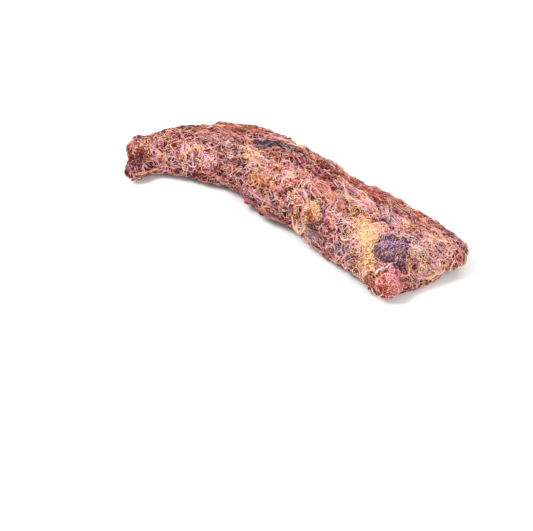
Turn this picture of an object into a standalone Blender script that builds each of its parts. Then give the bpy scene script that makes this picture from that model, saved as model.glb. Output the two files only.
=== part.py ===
"""One dried pad of Irish moss seaweed: a compacted mat of wiry red fronds with tufts of other colours in it.

Metres, +Z up. The pad lies along X on the plane z = 0, with the origin under the middle of its box.
The side at -Y is the near side, which slopes down to a thin edge; the crown runs along the far side.
"""

import math
import random

import bmesh
import bpy
from mathutils import Matrix, Vector, noise
from mathutils.bvhtree import BVHTree

MM = 0.001

# Outline of the pad from the narrow end to the broad end, over the fronds:
# near edge (x, y), far edge (x, y) and crown height, all in millimetres.
SECTIONS = (
    ((-196, -34), (-216, 6), 30),
    ((-186, -24), (-214, 28), 38),
    ((-161, -10), (-188, 52), 45),
    ((-127, -5), (-150, 78), 50),
    ((-87, -5), (-100, 96), 56),
    ((-44, -14), (-44, 91), 59),
    ((2, -31), (10, 75), 59),
    ((50, -52), (62, 55), 58),
    ((97, -74), (115, 39), 55),
    ((143, -101), (160, 26), 51),
    ((166, -99), (194, 15), 43),
    ((184, -62), (219, 5), 33),
)
# One cross-section, from the near edge over the crown and back underneath:
# share of the way from the near edge to the far edge, share of the crown height.
RING = (
    (-0.04, 0.22),
    (0.08, 0.68),
    (0.38, 1.02),
    (0.74, 1.08),
    (0.99, 0.78),
    (1.04, 0.30),
    (0.78, -0.06),
    (0.20, -0.06),
)
CAGE_LEVELS = 2
# Depth of the loose fronds outside the compacted core.
FRINGE = 6.8 * MM

# Folded lobes of the core, in millimetres and degrees: centre, half sizes, heading of the long side.
LOBES = (
    ((-92, 64, 34), (68, 14, 13), 4),
    ((-10, 54, 36), (54, 14, 12), -16),
    ((-20, -15, 13), (50, 11, 7), -24),
    ((62, -46, 13), (44, 12, 8), -22),
    ((-112, 14, 22), (30, 13, 16), 8),
    ((-54, 8, 32), (30, 16, 15), -14),
    ((-10, 24, 42), (34, 20, 10), -32),
    ((-190, -24, 15), (15, 11, 9), 62),
    ((-197, 6, 24), (14, 12, 10), 68),
    ((62, -16, 38), (40, 24, 11), -28),
    ((160, -28, 31), (34, 38, 12), -24),
    ((198, -12, 20), (18, 12, 9), -34),
)
LOBE_SUBDIVISIONS = 2

# Relief of the compacted core: size of a lump and how far it stands out.
LUMP_SIZE = 34 * MM
LUMP_HEIGHT = 4.0 * MM
CRUMPLE_SIZE = 17 * MM
CRUMPLE_HEIGHT = 1.6 * MM

# Frond strands that arch over the core, in layers, with both ends rooted in it.
STRANDS = 112
STRAND_SIDES = 3
STRAND_RADIUS = 3.7 * MM
STRAND_POINTS = 8
STRAND_STEP = 11 * MM
STRAND_ROOT = 3 * MM
STRAND_LAYERS = (-1.2 * MM, -0.4 * MM, 0.4 * MM)
STRAND_TRIALS = 700
STRAND_SPACING = 7 * MM
STRAND_CLEARANCE = 7.5 * MM
STRAND_TOUCHES = 2
START_HEIGHT = 11 * MM
STRAND_BEND = 0.12
CURL_BEND = 0.5
CURL_SHARE = 0.3
SWIRL_SIZE = 75 * MM
SWIRL_STRENGTH = 1.8
SWIRL_OFFSET = Vector((11.0, 5.0, 3.0))
CORE_TRIANGLES = 2400
MAT_TRIANGLES = 11900
MAT_MIDDLE = (0, 0, 25)
MAT_REACH = (230, 110, 25)
MAT_SEED = 7

# Tufts of other fronds, each in a pocket of the mat, in millimetres and degrees:
# centre, half sizes, heading of the long side, seed of its strands and colour.
TUFTS = {
    "golden_tuft": ((118, -50, 42), (29, 13, 14), -64, 0, (0.72, 0.42, 0.12)),
    "ochre_tuft": ((39, -42, 40), (21, 16, 12), -58, 2, (0.52, 0.25, 0.08)),
    "plum_tuft": ((149, -56, 41), (22, 16, 11), -70, 2, (0.13, 0.08, 0.13)),
    "red_curl_tuft": ((160, -85, 21), (19, 16, 18), -10, 4, (0.50, 0.12, 0.10)),
    "mauve_tuft": ((-196, -5, 32), (16, 13, 10), 60, 4, (0.42, 0.22, 0.30)),
    "cream_tuft": ((-137, 4, 43), (20, 15, 11), -20, 4, (0.78, 0.50, 0.38)),
    "amber_tuft": ((-25, -4, 45), (16, 11, 10), -30, 8, (0.66, 0.28, 0.07)),
}
TUFT_SUBDIVISIONS = 2
TUFT_TRIANGLES = 720
TUFT_STRANDS = 9
TUFT_STRAND_POINTS = 5
TUFT_STRAND_RADIUS = 2.1 * MM
TUFT_STRAND_STEP = 6.5 * MM
TUFT_STRAND_SPACING = 6 * MM
TUFT_STRAND_RISE = 0.3 * MM
TUFT_STRAND_ROOT = 2.1 * MM
POCKET_GAP = 0.9 * MM

MAT_COLOUR = (0.40, 0.12, 0.10)
FROND_ROUGHNESS = 0.8

# Box that trims the underside, and the height below which a point is set on the floor.
FLOOR_SIZE = 700 * MM
FLOOR_DEPTH = 60 * MM
FOOT_HEIGHT = 0.3 * MM


def make_material(name, colour, roughness):
    """A rough Principled finish of one colour."""
    material = bpy.data.materials.new(name)
    material.use_nodes = True
    shader = material.node_tree.nodes["Principled BSDF"]
    shader.inputs["Base Color"].default_value = (*colour, 1.0)
    shader.inputs["Roughness"].default_value = roughness
    shader.inputs["Metallic"].default_value = 0.0
    return material


def clear_scene():
    for old in list(bpy.data.objects):
        bpy.data.objects.remove(old)


def new_collection(name):
    made = bpy.data.collections.new(name)
    bpy.context.scene.collection.children.link(made)
    return made


def link(name, mesh, collection):
    made = bpy.data.objects.new(name, mesh)
    collection.objects.link(made)
    return made


def applied_mesh(obj):
    """The object's mesh with its modifiers applied."""
    graph = bpy.context.evaluated_depsgraph_get()
    return bpy.data.meshes.new_from_object(obj.evaluated_get(graph))


def in_metres(point):
    return Vector(point) * MM


def section_point(section, across, up):
    """A point of one cross-section's cage, with the fringe of fronds taken off the outline."""
    near, far, crown = (Vector(value) * MM if isinstance(value, tuple) else value * MM for value in section)
    width = (far - near).normalized() * FRINGE
    place = (near + width).lerp(far - width, across)
    return Vector((*place, (crown - FRINGE) * up))


def relief(point):
    """How far the matted surface stands out at a point."""
    lump = noise.noise(point / LUMP_SIZE) * LUMP_HEIGHT
    crumple = noise.noise(point / CRUMPLE_SIZE) * CRUMPLE_HEIGHT
    return lump + crumple


def roughen(mesh):
    """Moves each vertex along its normal by the relief."""
    normals = [vertex.normal.copy() for vertex in mesh.vertices]
    for vertex, normal in zip(mesh.vertices, normals):
        vertex.co += normal * relief(vertex.co)


def core_loft(collection):
    """The loft through the cross-sections, rounded by subdivision and crumpled."""
    shape = bmesh.new()
    rings = [
        [shape.verts.new(section_point(section, across, up)) for across, up in RING]
        for section in SECTIONS
    ]
    count = len(RING)
    for first, second in zip(rings, rings[1:]):
        for i in range(count):
            j = (i + 1) % count
            shape.faces.new((first[i], first[j], second[j], second[i]))
    shape.faces.new(rings[0][::-1])
    shape.faces.new(rings[-1])
    bmesh.ops.recalc_face_normals(shape, faces=shape.faces)
    mesh = bpy.data.meshes.new("core_cage")
    shape.to_mesh(mesh)
    shape.free()
    cage = link("core_cage", mesh, collection)
    rounding = cage.modifiers.new("rounding", "SUBSURF")
    rounding.levels = rounding.render_levels = CAGE_LEVELS
    core = link("core", applied_mesh(cage), collection)
    bpy.data.objects.remove(cage)
    roughen(core.data)
    return core


def ellipsoid_mesh(name, centre, half_sizes, heading, subdivisions):
    """A sphere stretched to the half sizes, turned to the heading and put at its centre."""
    shape = bmesh.new()
    bmesh.ops.create_icosphere(shape, subdivisions=subdivisions, radius=1.0)
    stretch = Matrix.Diagonal((*half_sizes, 1.0))
    turn = Matrix.Rotation(math.radians(heading), 4, "Z")
    place = Matrix.Translation(centre)
    bmesh.ops.transform(shape, matrix=place @ turn @ stretch, verts=shape.verts)
    mesh = bpy.data.meshes.new(name)
    shape.to_mesh(mesh)
    shape.free()
    return mesh


def apply_boolean(body, operation, other):
    """Applies one Boolean of an object or a collection to the body."""
    step = body.modifiers.new("step", "BOOLEAN")
    step.operation = operation
    step.solver = "MANIFOLD"
    if isinstance(other, bpy.types.Collection):
        step.operand_type = "COLLECTION"
        step.collection = other
    else:
        step.object = other
    made = applied_mesh(body)
    body.modifiers.clear()
    body.data = made


def join_all(body, others):
    """Fuses a collection's objects into the body with one union, then removes them."""
    apply_boolean(body, "UNION", others)
    for other in list(others.objects):
        bpy.data.objects.remove(other)
    bpy.data.collections.remove(others)


def cut(body, cutter):
    """Cuts the cutter's shape from the body, and removes the cutter."""
    cutter.hide_render = True
    cutter.display_type = "WIRE"
    apply_boolean(body, "DIFFERENCE", cutter)
    bpy.data.objects.remove(cutter)


def put_in_order(mesh):
    """Lists the vertices and faces by place, as a Boolean's own order differs from run to run."""
    places = [tuple(vertex.co) for vertex in mesh.vertices]
    order = sorted(range(len(places)), key=lambda i: tuple(round(c, 7) for c in places[i]))
    rank = {old: new for new, old in enumerate(order)}
    faces = []
    for polygon in mesh.polygons:
        corners = [rank[i] for i in polygon.vertices]
        first = corners.index(min(corners))
        faces.append(corners[first:] + corners[:first])
    mesh.clear_geometry()
    mesh.from_pydata([places[i] for i in order], [], sorted(faces))


def largest_group(shape):
    """The vertices of the largest connected piece."""
    unseen = set(shape.verts)
    largest = set()
    while unseen:
        group = {unseen.pop()}
        front = list(group)
        while front:
            vertex = front.pop()
            for edge in vertex.link_edges:
                other = edge.other_vert(vertex)
                if other in unseen:
                    unseen.discard(other)
                    group.add(other)
                    front.append(other)
        if len(group) > len(largest):
            largest = group
    return largest


def clean_up(mesh):
    """Drops loose scraps and sealed hollows, and leaves triangles in a fixed order."""
    put_in_order(mesh)
    shape = bmesh.new()
    shape.from_mesh(mesh)
    largest = largest_group(shape)
    scraps = [vertex for vertex in shape.verts if vertex not in largest]
    bmesh.ops.delete(shape, geom=scraps, context="VERTS")
    bmesh.ops.triangulate(shape, faces=shape.faces)
    shape.to_mesh(mesh)
    shape.free()
    put_in_order(mesh)


def thin_out(body, triangles):
    """Merges the shortest edges, down to a number of triangles."""
    present = len(body.data.polygons)
    if present <= triangles:
        return
    thin = body.modifiers.new("thin", "DECIMATE")
    thin.ratio = triangles / present
    made = applied_mesh(body)
    body.modifiers.clear()
    body.data = made
    put_in_order(made)


def surface_of(mesh):
    """A lookup of the nearest surface point of a mesh."""
    shape = bmesh.new()
    shape.from_mesh(mesh)
    tree = BVHTree.FromBMesh(shape)
    shape.free()
    return tree


def lie_of_pad(point):
    """The direction of the pad's length beside a point."""
    middles = [(Vector(near) + Vector(far)) * 0.5 * MM for near, far, _ in SECTIONS]
    spans = list(zip(middles, middles[1:]))
    first, second = next((span for span in spans if point.x < span[1].x), spans[-1])
    along = (second - first).normalized()
    return Vector((*along, 0.0))


def swirl_at(point):
    """A smooth vector field in the plane."""
    place = point / SWIRL_SIZE
    return Vector((noise.noise(place), noise.noise(place + SWIRL_OFFSET), 0.0))


def flow_at(point, normal):
    """The direction that fronds lie in: along the pad, turned by swirls, in the surface's plane."""
    direction = lie_of_pad(point) + swirl_at(point) * SWIRL_STRENGTH
    direction -= normal * direction.dot(normal)
    return direction.normalized()


def strand_route(tree, start, step, points, rise, root, bend):
    """Points of a strand that leaves the surface, runs over it along the flow with a bend, and dives in."""
    point, normal, _, _ = tree.find_nearest(start)
    direction = flow_at(point, normal)
    if bend < 0:
        direction.negate()
    route = []
    for i in range(points):
        inner = 0 < i < points - 1
        route.append(point + normal * (rise if inner else -root))
        flow = flow_at(point, normal)
        if flow.dot(direction) < 0:
            flow.negate()
        share = max(0.0, 0.6 - abs(bend))
        direction = direction.lerp(flow, share).normalized()
        direction.rotate(Matrix.Rotation(bend, 3, normal))
        stride = step if 0 < i < points - 2 else step * 0.7
        point, normal, _, _ = tree.find_nearest(point + direction * stride)
    return route


def polygon_profile(name, sides, collection):
    """A closed outline of a few sides and unit radius, for a strand's section."""
    curve = bpy.data.curves.new(name, "CURVE")
    curve.dimensions = "2D"
    spline = curve.splines.new("POLY")
    spline.points.add(sides - 1)
    spline.use_cyclic_u = True
    for i, spot in enumerate(spline.points):
        turn = 2 * math.pi * i / sides
        spot.co = (math.cos(turn), math.sin(turn), 0.0, 1.0)
    profile = link(name, curve, collection)
    profile.hide_render = True
    profile.display_type = "WIRE"
    return profile


def strand_tube(name, route, radius, profile, collection):
    """A tube along the route, slimmer at its closed ends, as a mesh object."""
    curve = bpy.data.curves.new(name, "CURVE")
    curve.dimensions = "3D"
    curve.bevel_mode = "OBJECT"
    curve.bevel_object = profile
    curve.use_fill_caps = True
    spline = curve.splines.new("POLY")
    spline.points.add(len(route) - 1)
    for i, (spot, place) in enumerate(zip(spline.points, route)):
        spot.co = (*place, 1.0)
        spot.radius = radius * (0.75 + 0.25 * math.sin(math.pi * i / (len(route) - 1)))
    line = link(name + "_line", curve, collection)
    mesh = applied_mesh(line)
    shape = bmesh.new()
    shape.from_mesh(mesh)
    bmesh.ops.remove_doubles(shape, verts=shape.verts, dist=1e-6)
    bmesh.ops.recalc_face_normals(shape, faces=shape.faces)
    shape.to_mesh(mesh)
    shape.free()
    tube = link(name, mesh, collection)
    tube.matrix_world = line.matrix_world.copy()
    bpy.data.objects.remove(line)
    return tube


def spaced_starts(tree, centre, reach, count, spacing, draw):
    """Seeded points of the surface seen from above and from the sides, no two nearer than the spacing."""
    chosen = []
    for _ in range(count * 60):
        turn = draw.uniform(0, 2 * math.pi)
        height = draw.uniform(0.0, 1.0)
        flat = math.sqrt(1 - height * height)
        outward = Vector((flat * math.cos(turn), flat * math.sin(turn), height))
        offset = Vector([draw.uniform(-span, span) for span in reach])
        origin = centre + offset + outward * 0.5
        place, _, _, _ = tree.ray_cast(origin, -outward)
        if place is None or place.z < START_HEIGHT:
            continue
        if all((place - other).length > spacing for other in chosen):
            chosen.append(place)
        if len(chosen) == count:
            break
    return chosen


def spread_out(routes, count, clearance, touches):
    """The first routes that come near the ones before them at no more than a few points."""
    kept = []
    for route in routes:
        places = [place for other in kept for place in other]
        near = sum(any((a - b).length < clearance for b in places) for a in route[1:-1])
        if near <= touches:
            kept.append(route)
        if len(kept) == count:
            break
    return kept


def lay_strands(body, name, routes, radius, profile):
    """Lays a strand along each route and fuses them all with the body."""
    strands = new_collection(name)
    for i, route in enumerate(routes):
        strand_tube(f"{name}_{i}", route, radius, profile, strands)
    join_all(body, strands)
    clean_up(body.data)


def finish(body, name, colour):
    """Gives the body its only material."""
    body.data.materials.clear()
    body.data.materials.append(make_material(name, colour, FROND_ROUGHNESS))


def build_mat(part, profile):
    """The compacted core with its lobes and its layered strands."""
    mat = core_loft(part)
    mat.name = "moss_mat"
    lobes = new_collection("lobes")
    for i, (centre, half_sizes, heading) in enumerate(LOBES):
        centre, half_sizes = in_metres(centre), in_metres(half_sizes)
        mesh = ellipsoid_mesh(f"lobe_{i}", centre, half_sizes, heading, LOBE_SUBDIVISIONS)
        roughen(mesh)
        link(mesh.name, mesh, lobes)
    join_all(mat, lobes)
    clean_up(mat.data)
    thin_out(mat, CORE_TRIANGLES)
    tree = surface_of(mat.data)

    def route_of(i, start):
        draw = random.Random(i)
        most = CURL_BEND if draw.random() < CURL_SHARE else STRAND_BEND
        bend = draw.uniform(0.5, 1.0) * most * draw.choice((-1, 1))
        rise = STRAND_RADIUS + STRAND_LAYERS[i % len(STRAND_LAYERS)]
        return strand_route(tree, start, STRAND_STEP, STRAND_POINTS, rise, STRAND_ROOT, bend)

    centre, reach = in_metres(MAT_MIDDLE), in_metres(MAT_REACH)
    starts = spaced_starts(tree, centre, reach, STRAND_TRIALS, STRAND_SPACING, random.Random(MAT_SEED))
    routes = [route_of(i, start) for i, start in enumerate(starts)]
    routes = spread_out(routes, STRANDS, STRAND_CLEARANCE, STRAND_TOUCHES)
    lay_strands(mat, "mat_strand", routes, STRAND_RADIUS, profile)
    return mat


def build_tuft(name, part, profile):
    """A bun of fronds of another colour: a small core with strands arched over it, inside its pocket."""
    centre, half_sizes, heading, seed, colour = TUFTS[name]
    centre = in_metres(centre)
    layer = POCKET_GAP + TUFT_STRAND_RADIUS * 2 + TUFT_STRAND_RISE
    half_sizes = in_metres(half_sizes) - Vector((layer, layer, layer))
    tuft = link(name, ellipsoid_mesh(name, centre, half_sizes, heading, TUFT_SUBDIVISIONS), part)
    tree = surface_of(tuft.data)
    rise = TUFT_STRAND_RADIUS + TUFT_STRAND_RISE
    draw = random.Random(seed)

    def route_of(i, start):
        bend = draw.uniform(0.1, 0.5) * draw.choice((-1, 1))
        return strand_route(tree, start, TUFT_STRAND_STEP, TUFT_STRAND_POINTS, rise, TUFT_STRAND_ROOT, bend)

    starts = spaced_starts(tree, centre, half_sizes, TUFT_STRANDS, TUFT_STRAND_SPACING, draw)
    routes = [route_of(i, start) for i, start in enumerate(starts)]
    lay_strands(tuft, name + "_strand", routes, TUFT_STRAND_RADIUS, profile)
    thin_out(tuft, TUFT_TRIANGLES)
    finish(tuft, name + "_finish", colour)
    return tuft


def cut_pockets(mat, part):
    """Cuts the pocket of each tuft from the mat."""
    for name, (centre, half_sizes, heading, _, _) in TUFTS.items():
        centre, half_sizes = in_metres(centre), in_metres(half_sizes)
        mesh = ellipsoid_mesh(name + "_pocket", centre, half_sizes, heading, TUFT_SUBDIVISIONS)
        cut(mat, link(mesh.name, mesh, part))
    clean_up(mat.data)


def cut_floor(body, part):
    """Cuts off what is below the floor, so the pad rests flat."""
    shape = bmesh.new()
    bmesh.ops.create_cube(shape, size=1.0)
    stretch = Matrix.Diagonal((FLOOR_SIZE, FLOOR_SIZE, FLOOR_DEPTH, 1.0))
    lower = Matrix.Translation((0, 0, -FLOOR_DEPTH / 2))
    bmesh.ops.transform(shape, matrix=lower @ stretch, verts=shape.verts)
    mesh = bpy.data.meshes.new("floor_cutter")
    shape.to_mesh(mesh)
    shape.free()
    cut(body, link("floor_cutter", mesh, part))
    clean_up(body.data)


def set_on_floor(mesh):
    """Puts the points that thinning moved off the floor back on it."""
    for vertex in mesh.vertices:
        if vertex.co.z < FOOT_HEIGHT:
            vertex.co.z = 0.0


def centre_box(bodies):
    """Moves all bodies so that the origin is under the middle of their box."""
    places = [vertex.co for body in bodies for vertex in body.data.vertices]
    middle = Vector([(min(p[i] for p in places) + max(p[i] for p in places)) / 2 for i in range(3)])
    middle.z = 0.0
    for body in bodies:
        body.data.transform(Matrix.Translation(-middle))


def main():
    clear_scene()
    part = new_collection("irish_moss_pad")
    profile = polygon_profile("strand_profile", STRAND_SIDES, part)
    mat = build_mat(part, profile)
    cut_pockets(mat, part)
    cut_floor(mat, part)
    thin_out(mat, MAT_TRIANGLES)
    set_on_floor(mat.data)
    finish(mat, "mat_finish", MAT_COLOUR)
    tufts = [build_tuft(name, part, profile) for name in TUFTS]
    bpy.data.objects.remove(profile)
    centre_box([mat, *tufts])


main()
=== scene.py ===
"""Dresses one dried pad of Irish moss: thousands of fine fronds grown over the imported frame.

Metres and the frame's own axes throughout, except for lines of points, which are in millimetres.
"""

import logging
import math
from dataclasses import dataclass, field
from enum import Enum

import bmesh
import bpy
import numpy as np
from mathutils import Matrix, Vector, noise
from mathutils.bvhtree import BVHTree


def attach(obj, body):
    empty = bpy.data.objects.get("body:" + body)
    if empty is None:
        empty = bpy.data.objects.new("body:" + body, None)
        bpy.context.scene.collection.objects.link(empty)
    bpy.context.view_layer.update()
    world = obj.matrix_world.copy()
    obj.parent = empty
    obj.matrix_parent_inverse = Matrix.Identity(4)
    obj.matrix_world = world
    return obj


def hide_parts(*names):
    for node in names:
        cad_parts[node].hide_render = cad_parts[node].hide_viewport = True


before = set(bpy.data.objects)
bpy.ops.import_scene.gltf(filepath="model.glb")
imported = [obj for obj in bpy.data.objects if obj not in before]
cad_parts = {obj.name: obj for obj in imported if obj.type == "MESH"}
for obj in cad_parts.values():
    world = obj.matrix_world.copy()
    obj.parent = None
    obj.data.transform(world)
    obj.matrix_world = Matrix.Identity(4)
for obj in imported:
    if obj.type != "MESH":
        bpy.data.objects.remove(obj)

LOG = logging.getLogger("moss_pad")
MM = 0.001
TINT = "tint"
Line = tuple[tuple[float, float, float], ...]


def from_srgb(values: tuple[int, int, int]) -> np.ndarray:
    """Turns sRGB bytes into linear light.

    Args:
        values: red, green and blue from 0 to 255.

    Returns:
        The three linear values from 0 to 1.
    """
    share = np.array(values) / 255
    return np.where(share <= 0.04045, share / 12.92, ((share + 0.055) / 1.055) ** 2.4)


def unit(vectors: np.ndarray) -> np.ndarray:
    """Scales vectors along the last axis to length one."""
    return vectors / np.maximum(np.linalg.norm(vectors, axis=-1, keepdims=True), 1e-9)


def placed(name: str, data: bpy.types.ID) -> bpy.types.Object:
    """Makes an object and links it to the scene.

    Args:
        name: its name.
        data: its mesh, light or camera.

    Returns:
        The object.
    """
    piece = bpy.data.objects.new(name, data)
    bpy.context.scene.collection.objects.link(piece)
    return piece


class Tone(Enum):
    """Colours of dry fronds, as sRGB bytes."""

    ROSE = (182, 92, 86)
    SALMON = (204, 112, 92)
    BRICK = (162, 74, 62)
    WINE = (120, 44, 50)
    PINK = (212, 128, 126)
    BLUSH = (222, 168, 150)
    CREAM = (236, 204, 168)
    RUST = (184, 104, 74)
    ORANGE = (208, 130, 80)
    GOLD = (230, 176, 98)
    OCHRE = (192, 132, 76)
    CORAL = (208, 98, 86)
    CRIMSON = (170, 66, 74)
    MAGENTA = (188, 94, 110)
    MAUVE = (154, 100, 114)
    LILAC = (188, 144, 156)
    PLUM = (114, 70, 90)
    INDIGO = (96, 76, 110)
    SLATE = (116, 114, 134)

    @property
    def light(self) -> np.ndarray:
        """The colour in linear light."""
        return from_srgb(self.value)


def mix(**shares: float) -> dict[Tone, float]:
    """Shares of tones, given by their names in small letters."""
    return {Tone[name.upper()]: share for name, share in shares.items()}


TONES = list(Tone)
TONE_LIGHT = np.array([tone.light for tone in TONES])
WARM = (Tone.RUST, Tone.ORANGE, Tone.SALMON, Tone.CORAL, Tone.OCHRE)
COOL = (Tone.MAUVE, Tone.LILAC, Tone.PLUM, Tone.INDIGO, Tone.MAGENTA)
# Painted shade colour for the hollows between fronds, and a pale colour that is partly bleaching and partly
# painted highlight.
HOLLOW_SHADE = from_srgb((98, 24, 28))
BLEACH_AND_HIGHLIGHT = from_srgb((236, 218, 206))
# Shares of the painted shade colour and of the tone in the deepest painted shade, and of the bleached and
# highlight colour in the palest.
DEEP_MIX = (0.55, 0.16)
PALE_MIX = (0.62, 0.38)
# How far colours stray from frond to frond, and lightness from point to point.
TONE_SPREAD = np.array((0.12, 0.06, 0.12))
POINT_SPREAD = 0.17
# How much the shadow in a crease takes off a frond's lightness.
GLOOM = 0.75
# Curl in radians a millimetre, and the least at which looped layers grow.
COMBED = 0.03
MATTED = 0.18
LOOPED = 0.3
LOOPY = MATTED * 1.3
# Radii against the layer's own: of matted fronds, of looped ones, and of tips, with what each point adds.
THIN = 0.85
GIRTH = 1.2
TIP = 0.45
TIP_SWELL = 0.3
# The z of a normal below which a face belongs to the underside.
UNDERSIDE = -0.6
SIDES = 3


def shaded(base: np.ndarray, level: np.ndarray) -> np.ndarray:
    """Runs a tone from deep and saturated painted shade in the hollows to pale on top, partly bleaching and
    partly painted highlight.

    Args:
        base: linear tones, one a row.
        level: one value a row, 0 for painted shade in the hollows, 0.5 for the plain tone and 1 for the
            pale top, partly painted highlight.

    Returns:
        The shaded colours.
    """
    level = np.clip(level, 0, 1)[:, None]
    deep = HOLLOW_SHADE * DEEP_MIX[0] + base * DEEP_MIX[1]
    pale = base * PALE_MIX[1] + BLEACH_AND_HIGHLIGHT * PALE_MIX[0]
    low = deep + (base - deep) * np.clip(level * 2, 0, 1)
    return low + (pale - base) * np.clip(level * 2 - 1, 0, 1)


def distance(line: Line, places: np.ndarray) -> np.ndarray:
    """The distance of some places from a line of points.

    Args:
        line: one point or more, in millimetres.
        places: points in metres, one a row.

    Returns:
        A distance in millimetres a place.
    """
    points = np.array(line, float)
    near = np.linalg.norm(places / MM - points[0], axis=1)
    for first, second in zip(points, points[1:]):
        span = second - first
        share = np.clip((places / MM - first) @ span / (span @ span), 0, 1)
        near = np.minimum(near, np.linalg.norm(places / MM - first - share[:, None] * span, axis=1))
    return near


@dataclass(frozen=True)
class Patch:
    """A region along a line, with its own mix of tones, curl in radians a millimetre, and light, partly the
    region's own lightness and partly painted light and shade.
    """

    name: str
    line: Line
    radius: float
    mix: dict[Tone, float]
    strength: float = 4.0
    curl: float = MATTED
    light: float = 0.0

    def weight(self, places: np.ndarray, wobble: np.ndarray) -> np.ndarray:
        """How much the patch counts at some places.

        Args:
            places: points in metres, one a row.
            wobble: one value a point that makes the edge ragged.

        Returns:
            A weight a point, from the strength in the middle to 0 well outside.
        """
        reach = np.clip(distance(self.line, places) / self.radius + wobble, 0, 4)
        return self.strength * np.exp(-(reach**4))


BASE_MIX = mix(
    rose=0.24, salmon=0.14, brick=0.15, pink=0.14, rust=0.08, blush=0.06, mauve=0.07, wine=0.04,
    plum=0.03, lilac=0.03, crimson=0.02,
)

# The last number of some patches is their light, partly the region's own lightness and partly painted light
# and shade: the left end and the near lip are painted darker as shade, and the right end lighter.
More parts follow.
